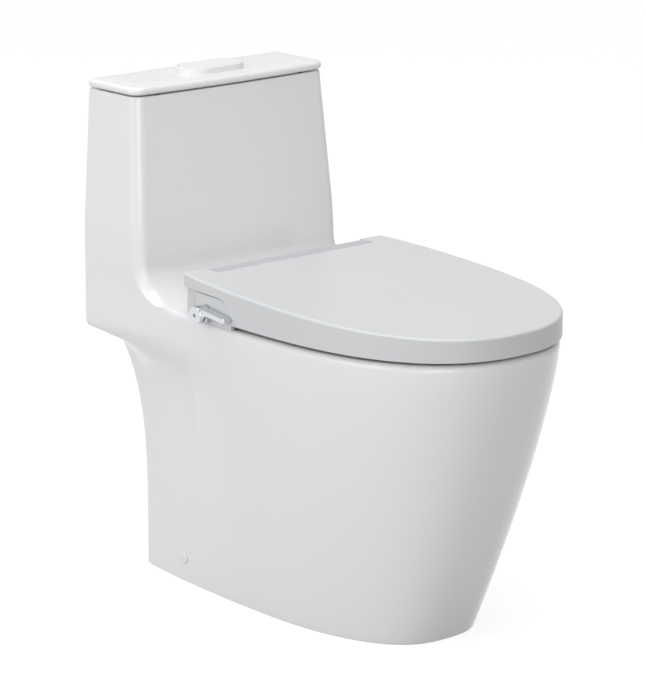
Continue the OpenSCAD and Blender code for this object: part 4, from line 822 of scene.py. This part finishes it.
lid_hollow = capped("lid_hollow", [closed(lid_half(3.5), lambda d: lid_low(d) - 10),
                                   closed(lid_half(3.5), lambda d: lid_top(d) - 6.5),
                                   closed(lid_half(4.1), lambda d: lid_top(d) - 5),
                                   closed(lid_half(5.5), lambda d: lid_top(d) - 3.5)])
cut(seat_lid, lid_hollow, box("notch", (-138.5, at(242.4), 300), (138.5, at(182), 600)),
    box("low_back", (-174.5, at(LID_BACK + 4.5), 300), (174.5, at(194), 460.5)),
    side_plate("cheek_recess", -378, 378, cheek_profile(194.4, 300, 1.5)))
soften(seat_lid, 0.7, segments=2, angle=40)

# %% [markdown]
# Two lugs inside the lid's back corners turn on the hinge pins. Each is a round eye with a web that rises
# into the shell.

# %% Lugs of the seat lid
HINGE_D, HINGE_Z, LUG_R, PIN_R = 228, 447, 9.5, 4
LID_LUG, SEAT_LUG = (138.7, 148.9), (149.5, 160.5)


def lug(name, side, span, web):
    low, high = sorted((side * span[0], side * span[1]))
    piece = rod(name, (low, at(HINGE_D), HINGE_Z), LUG_R, high - low, "X")
    join(piece, side_plate("web", low, high, web))
    return piece


for side in (-1, 1):
    join(seat_lid, lug("lid_lug", side, LID_LUG, [
        (HINGE_D - 9, HINGE_Z), (HINGE_D - 9, 464.2), (HINGE_D + 14, 463.4), (HINGE_D + 9, HINGE_Z)]))
    cut(seat_lid, rod("pin_hole", (side * 150 - 14, at(HINGE_D), HINGE_Z), PIN_R + 0.06, 28, "X"))
soften(seat_lid, 0, smooth=40)
settle(seat_lid, seat_plastic, "lid", "seat_lid", slot="seat_plastic")

# %% [markdown]
# ## The seat ring
# The ring is a closed loop with one cross-section that changes as it goes round: high and rounded
# outside, falling towards the opening. A torus would be far from it. It is a skin that is swept round the
# egg and joined to itself, with two arms at the back that reach the hinge.

# %% Stations of the seat ring
SEAT_BACK, SEAT_Z, SEAT_T = 311, 412, 27
SEAT_FRONT = LID_FRONT - 7
RING_STATIONS, REAR_STATIONS = 90, 18
HOLE_W, HOLE_BACK, HOLE_FRONT = 226, 352, 622
SEAT_REAR_W, SEAT_W, BACK_HALF, SIDE_HALF, BACK_R = 342, 364, 146, 176.5, 34
SECTION = [(0.03, 0), (0, 0.15), (0, 0.55), (0.05, 0.84), (0.17, 0.98), (0.36, 1), (0.66, 0.9),
           (0.9, 0.72), (1.0, 0.5), (1.0, 0.12), (0.96, 0.0)]


def seat_outer(i):
    """The ring's outer edge: straight at the back, round at the rear corners, then the egg."""
    if i < REAR_STATIONS:
        return (BACK_HALF * i / REAR_STATIONS, SEAT_BACK)
    if i == RING_STATIONS:
        return (0.0, SEAT_FRONT)
    t = (i - REAR_STATIONS) / (RING_STATIONS - REAR_STATIONS)
    d = mix(SEAT_BACK, SEAT_FRONT, 1 - (1 - t) ** 2)
    full = egg((d - LID_BACK - 7) / (LID_L - 14), SEAT_REAR_W, SEAT_W)
    corner = mix(BACK_HALF, SIDE_HALF, math.sqrt(1 - (1 - clamp((d - SEAT_BACK) / BACK_R)) ** 2))
    return (min(full, corner + max(d - SEAT_BACK - BACK_R, 0)), d)


def seat_inner(i):
    """The edge of the ring's opening, at the same stations."""
    if i < REAR_STATIONS:
        f = math.pi * 0.26 * i / REAR_STATIONS
    else:
        f = math.pi * (0.26 + 0.74 * (i - REAR_STATIONS) / (RING_STATIONS - REAR_STATIONS))
    mid, half_l = (HOLE_BACK + HOLE_FRONT) / 2, (HOLE_FRONT - HOLE_BACK) / 2
    return (HOLE_W / 2 * max(math.sin(f), 0.0) ** 0.85, mid - half_l * math.cos(f))


def seat_top(d):
    return SEAT_Z + SEAT_T - 5 * (d - SEAT_BACK) / (SEAT_FRONT - SEAT_BACK)


def fine_section(steps=4):
    """The section's corners joined by smooth curves, apart from its flat underside."""
    points = [curve_at(SECTION, k, j / steps) for k in range(len(SECTION) - 1) for j in range(steps)]
    return [(clamp(a), clamp(b)) for a, b in points + [SECTION[-1]]]


FINE = fine_section()


def seat_station(i, side):
    (xo, do), (xi, di) = seat_outer(i), seat_inner(i)
    ring = []
    for across, up in FINE:
        x, d = mix(xo, xi, across), mix(do, di, across)
        ring.append((side * x, at(d), mix(SEAT_Z, seat_top(d), up)))
    return ring


stations = [seat_station(i, -1) for i in range(RING_STATIONS + 1)]
stations += [seat_station(i, 1) for i in range(RING_STATIONS - 1, 0, -1)]
seat_ring = skin("seat_ring_body", stations + [stations[0]])

# %% Arms of the seat ring
for side in (-1, 1):
    d1 = SEAT_BACK + 26
    join(seat_ring, lug("seat_arm", side, SEAT_LUG, [
        (HINGE_D, HINGE_Z + LUG_R), (HINGE_D + 14, HINGE_Z + 6), (d1, SEAT_Z + 19), (d1, SEAT_Z + 6),
        (SEAT_BACK + 2, SEAT_Z + 8), (HINGE_D + 4, HINGE_Z - LUG_R + 0.8)]))
    cut(seat_ring, rod("pin_hole", (side * 155 - 14, at(HINGE_D), HINGE_Z), PIN_R + 0.06, 28, "X"))
soften(seat_ring, 0, smooth=40)
settle(seat_ring, seat_plastic, "seat", "seat_ring", slot="seat_plastic")

# %% [markdown]
# ## The bidet seat's housing
# Behind the ring sits the housing: a tray with a cheek at each side, a middle part that holds the valve,
# and a cover whose top shows as a grey band behind the lid. The cheeks follow the lid's egg and lie
# almost flush with its side. They are made as thin walls from the same outline, cut to their rounded
# profile.

# %% Housing
COVER_X, SHELL_T, UNIT_FRONT, MIDDLE_BACK, BODY_TOP = 137.5, 2.5, 301, 215, 439
UNIT_LOW = RIM_Z + 0.3
FRONT_Y, INNER_X = at(UNIT_FRONT), COVER_X - SHELL_T


def cheek_w(d):
    """Half width over the cheeks: the lid's egg less a small step, and narrower beside the lid's lugs."""
    full = egg(clamp((d - LID_BACK) / LID_L), LID_REAR_W, LID_W) - 1.2
    return min(full, mix(173.9, full, ease((d - HINGE_D - 5) / 16)))


def cheek_outline(name, d0, d1, by, z0, z1, steps=48):
    """A slab between two distances and two heights that follows the cheeks, drawn in by a distance."""
    edge = [(cheek_w(d) - by, at(d)) for d in [mix(d0, d1, i / steps) for i in range(steps + 1)]]
    outline = [(-x, y, z0) for x, y in edge] + [(x, y, z0) for x, y in reversed(edge)]
    return plate(name, outline, (0, 0, z1 - z0))


cheeks = cheek_outline("cheeks", CHEEK_BACK, CHEEK_END, 0, 400, 480)
cut(cheeks, cheek_outline("cheeks_inside", CHEEK_BACK - 1, CHEEK_END + 1, 6.3, 399, 481))
cheek_side = side_plate("cheek_side", -190, 190, cheek_profile(CHEEK_BACK, UNIT_LOW, 0))
cut(cheeks, cheek_side, operation="INTERSECT")
soften(cheeks, 1.0, angle=40)
housing = cheek_outline("housing", CHEEK_BACK, UNIT_FRONT, 3.9, UNIT_LOW, UNIT_LOW + 5)
join(housing, box("middle", (-COVER_X, FRONT_Y, UNIT_LOW), (COVER_X, at(MIDDLE_BACK), BODY_TOP)))
cut(housing, box("inside", (-INNER_X, FRONT_Y + SHELL_T, UNIT_LOW + 6),
                 (INNER_X, at(MIDDLE_BACK + SHELL_T), 480)),
    box("under", (-INNER_X, FRONT_Y + SHELL_T, 408), (INNER_X, at(CHEEK_BACK + SHELL_T), UNIT_LOW + 4)),
    box("nozzle_way", (-23.5, FRONT_Y - 1, 408), (23.5, FRONT_Y + 45, 420)))
LEVER_D, LEVER_Z = 272, 422.5
join(housing, cheeks)
cut(housing, rod("spindle_hole", (-189, at(LEVER_D), LEVER_Z), 3.06, 70, "X", sides=32),
    rod("hub_seat", (-192, at(LEVER_D), LEVER_Z), 12.6, 10, "X", sides=96),
    rod("inlet_hole", (-110.8, at(229.4), 426.5), 7.2, 20, "Y", sides=48))
soften(housing, 0, smooth=40)
settle(housing, seat_plastic, "toilet", "unit_lower_shell", slot="seat_plastic")

# %% Cover
def cover_profile(by):
    """The cover's top stays inside the circle that the lid's notch sweeps round the hinge."""
    base = BODY_TOP + (-1 if by else 0.3)
    profile = [(MIDDLE_BACK + by, base)]
    for d in (MIDDLE_BACK + by, 217, 219, 221.5, 234.5, 237, 239.5):
        profile.append((d, min(HINGE_Z + math.sqrt((20.6 - by) ** 2 - (d - HINGE_D) ** 2), 466.5 - by)))
    return profile + [(LID_BACK + 27 - by * 0.6, 460.5 - by),
                      (LID_BACK + 34 - by * 0.6, 451 - by * 0.6), (UNIT_FRONT - 12, 445 - by),
                      (UNIT_FRONT - by, 443 - by), (UNIT_FRONT - by, base)]


cover = side_plate("hinge_cover", -COVER_X, COVER_X, cover_profile(0))
cut(cover, side_plate("cover_hollow", -INNER_X, INNER_X, cover_profile(SHELL_T)),
    rod("pin_bore", (-200, at(HINGE_D), HINGE_Z), PIN_R + 0.02, 400, "X"))
soften(cover, 0.8, angle=30)
settle(cover, band_plastic, "toilet", "unit_top_cover", slot="seat_plastic")

# %% [markdown]
# ## The lever
# A chrome lever on the left cheek chooses the wash. Its hub is a short drum with a flat cap, and its arm
# a bar that is broad on top. The drum is a cylinder with a bevel and a groove behind the cap, and the arm
# is a side profile, extruded and bevelled. A black rubber ring in the groove is painted shade: it stands
# for the dark reflection and shadow behind the cap.

# %% Lever
HUB_X, HUB_R, HUB_L, ARM_X, ARM_W, ARM_L = 182.142, 12, 23, 189.5, 13.5, 58
CAP_X, GROOVE_X, GROOVE_W, GROOVE_R = -HUB_X - HUB_L, 6.6, 2.6, HUB_R - 2.2


def drum(name, x, radius, length, axis="X", sides=96):
    """A round bar on the lever's axis."""
    return rod(name, (x, at(LEVER_D), LEVER_Z), radius, length, axis, sides)


lever = drum("lever", -HUB_X, HUB_R, HUB_L, "-X")
groove = drum("groove", CAP_X + GROOVE_X, HUB_R + 2, GROOVE_W)
cut(groove, drum("groove_floor", CAP_X + GROOVE_X - 1, GROOVE_R, 5))
cut(lever, groove)
soften(lever, 0.7, segments=4)
outline = [(0, 11), (14, 10.4), (ARM_L - 2.5, 5.5), (ARM_L, 3.5), (ARM_L, 0), (ARM_L - 2.5, -1.8), (20, 2),
           (12, -2), (0, -6)]
arm = side_plate("arm", -ARM_X - ARM_W, -ARM_X, [(LEVER_D + p, LEVER_Z + q) for p, q in outline])
soften(arm, 1.2, angle=25)
join(lever, arm)
cut(lever, drum("spindle_seat", -HUB_X + 1, 3.02, 10, "-X", sides=32),
    drum("mark_seat", CAP_X + 1, 2.5, 2, "-X", sides=48))
soften(lever, 0)
settle(lever, lever_chrome, "selector", "selector_lever", slot="lever_chrome")
# A black ring in the groove: painted shade, standing for the dark reflection and shadow behind the cap.
painted_shade_ring = drum("lever_painted_shade_ring", CAP_X + GROOVE_X, HUB_R - 1.2, GROOVE_W)
cut(painted_shade_ring, drum("painted_shade_ring_bore", CAP_X + GROOVE_X - 1, GROOVE_R, 5))
settle(painted_shade_ring, rubber_black, "selector")

# %% [markdown]
# ## The side caps
# A low dome on each side of the foot hides a fixing screw. It is a disc whose rim is bevelled with many
# segments, so that it meets the skirt at a soft angle.

# %% Side caps
CAP_R, CAP_END_R, CAP_H, STEM_R = 9, 6.4, 2.4, 5.4
FOOT_TURN, FOOT_LEAN = 7.937, 3.692  # degrees, as the foot's side stands at the caps

caps = []
for side, name, axis in ((-1, "side_caps_left", "-X"), (1, "side_caps_right", "X")):
    cap = rod(name, (side * (FIX_X + 0.35), at(FIX_D), FIX_Z), CAP_R, CAP_H, axis, sides=72,
              radius_end=CAP_END_R)
    soften(cap, 0.7, segments=4, angle=20)
    middle = Matrix.Translation((side * FIX_X / 1000, at(FIX_D) / 1000, FIX_Z / 1000))
    turned = Matrix.Rotation(math.radians(side * FOOT_TURN), 4, "Z")
    leaned = Matrix.Rotation(math.radians(side * FOOT_LEAN), 4, "Y")
    cap.data.transform(middle @ turned @ leaned @ middle.inverted())
    join(cap, rod("stem", (side * (FIX_X - 1.9), at(FIX_D), FIX_Z), STEM_R, 3.2, axis))
    soften(cap, 0)
    caps.append(cap)
cap_pair = caps[0]
pick(cap_pair)
caps[1].select_set(True)
bpy.ops.object.join()
cap_pair.name = "side_cap_pair"
settle(cap_pair, trim_plastic, "toilet", "side_caps", slot="white_trim")

# %% [markdown]
# ## Floor, background and light
# A plain white floor runs into a white background. The camera and the reflections see both as white, with
# a faint shadow where the foot stands. To all other light the floor is a matt grey, so it doesn't
# brighten the skirt from below. Three soft lamps, at the left, above and in front, shape the form. The
# world fills the shadows, fully from the left and not at all from the right.

# %% Floor
bpy.ops.mesh.primitive_plane_add(size=40)
floor = bpy.context.object
floor.name = "floor"
floor_material, tree = new_material("matt_white_floor")
ray = add_node(tree, "ShaderNodeLightPath")
seen = maths(tree, "MAXIMUM", (ray, "Is Camera Ray"), (ray, "Is Glossy Ray"))
matt = add_node(tree, "ShaderNodeBsdfDiffuse", {"Color": linear("#A8A8A8")})
shade = add_node(tree, "ShaderNodeBsdfDiffuse", {"Color": linear("#8C8C8C")})
glow = add_node(tree, "ShaderNodeEmission", {"Color": (1, 1, 1, 1), "Strength": 0.85})
white = add_node(tree, "ShaderNodeAddShader", sockets=((shade, "BSDF"), (glow, "Emission")))
choice = add_node(tree, "ShaderNodeMixShader", sockets=((seen, "Value"), (matt, "BSDF"), (white, "Shader")))
add_node(tree, "ShaderNodeOutputMaterial", Surface=(choice, "Shader"))
floor.data.materials.append(floor_material)

# %% World
FILL, DIMMING = 0.535, 0.2
world = bpy.data.worlds.new("studio")
bpy.context.scene.world = world
world.use_nodes = True
tree = world.node_tree
tree.nodes.clear()
ray = add_node(tree, "ShaderNodeLightPath")
clear = maths(tree, "MAXIMUM", (ray, "Is Camera Ray"), (ray, "Is Transmission Ray"))
seen = maths(tree, "MAXIMUM", (clear, "Value"), (ray, "Is Glossy Ray"))
direction = add_node(tree, "ShaderNodeTexCoord")
across = add_node(tree, "ShaderNodeSeparateXYZ", Vector=(direction, "Generated"))
from_left = maths(tree, "MULTIPLY_ADD", (across, "X"), -FILL, FILL)
fill = add_node(tree, "ShaderNodeBackground", {"Color": linear("#F6F7FA")}, Strength=(from_left, "Value"))
weaker = maths(tree, "MULTIPLY_ADD", (ray, "Is Glossy Ray"), -DIMMING, 1.0)
white = add_node(tree, "ShaderNodeBackground", {"Color": (1, 1, 1, 1)}, Strength=(weaker, "Value"))
choice = add_node(tree, "ShaderNodeMixShader",
                  sockets=((seen, "Value"), (fill, "Background"), (white, "Background")))
add_node(tree, "ShaderNodeOutputWorld", Surface=(choice, "Shader"))


# %% Lamps
AIM = (0, 0, 0.4)


def lamp(name, place, size, power):
    """A square soft light in metres and watts that looks at the middle of the object."""
    data = bpy.data.lights.new(name, "AREA")
    data.size = size
    data.energy = power
    light = bpy.data.objects.new(name, data)
    bpy.context.collection.objects.link(light)
    light.location = place
    light.rotation_euler = (Vector(place) - Vector(AIM)).to_track_quat("Z", "Y").to_euler()


lamp("left", (-3.4, 0.2, 1.6), 2.0, 18.5)
lamp("top", (0.0, -0.2, 3.6), 2.4, 51)
lamp("front", (-2.2, -3.0, 1.4), 2.0, 24)

# %% [markdown]
# ## Finish
# The scene uses the Standard view transform, so that a colour renders about as it is written.

# %% View transform
bpy.context.scene.view_settings.view_transform = "Standard"
bpy.ops.object.select_all(action="DESELECT")
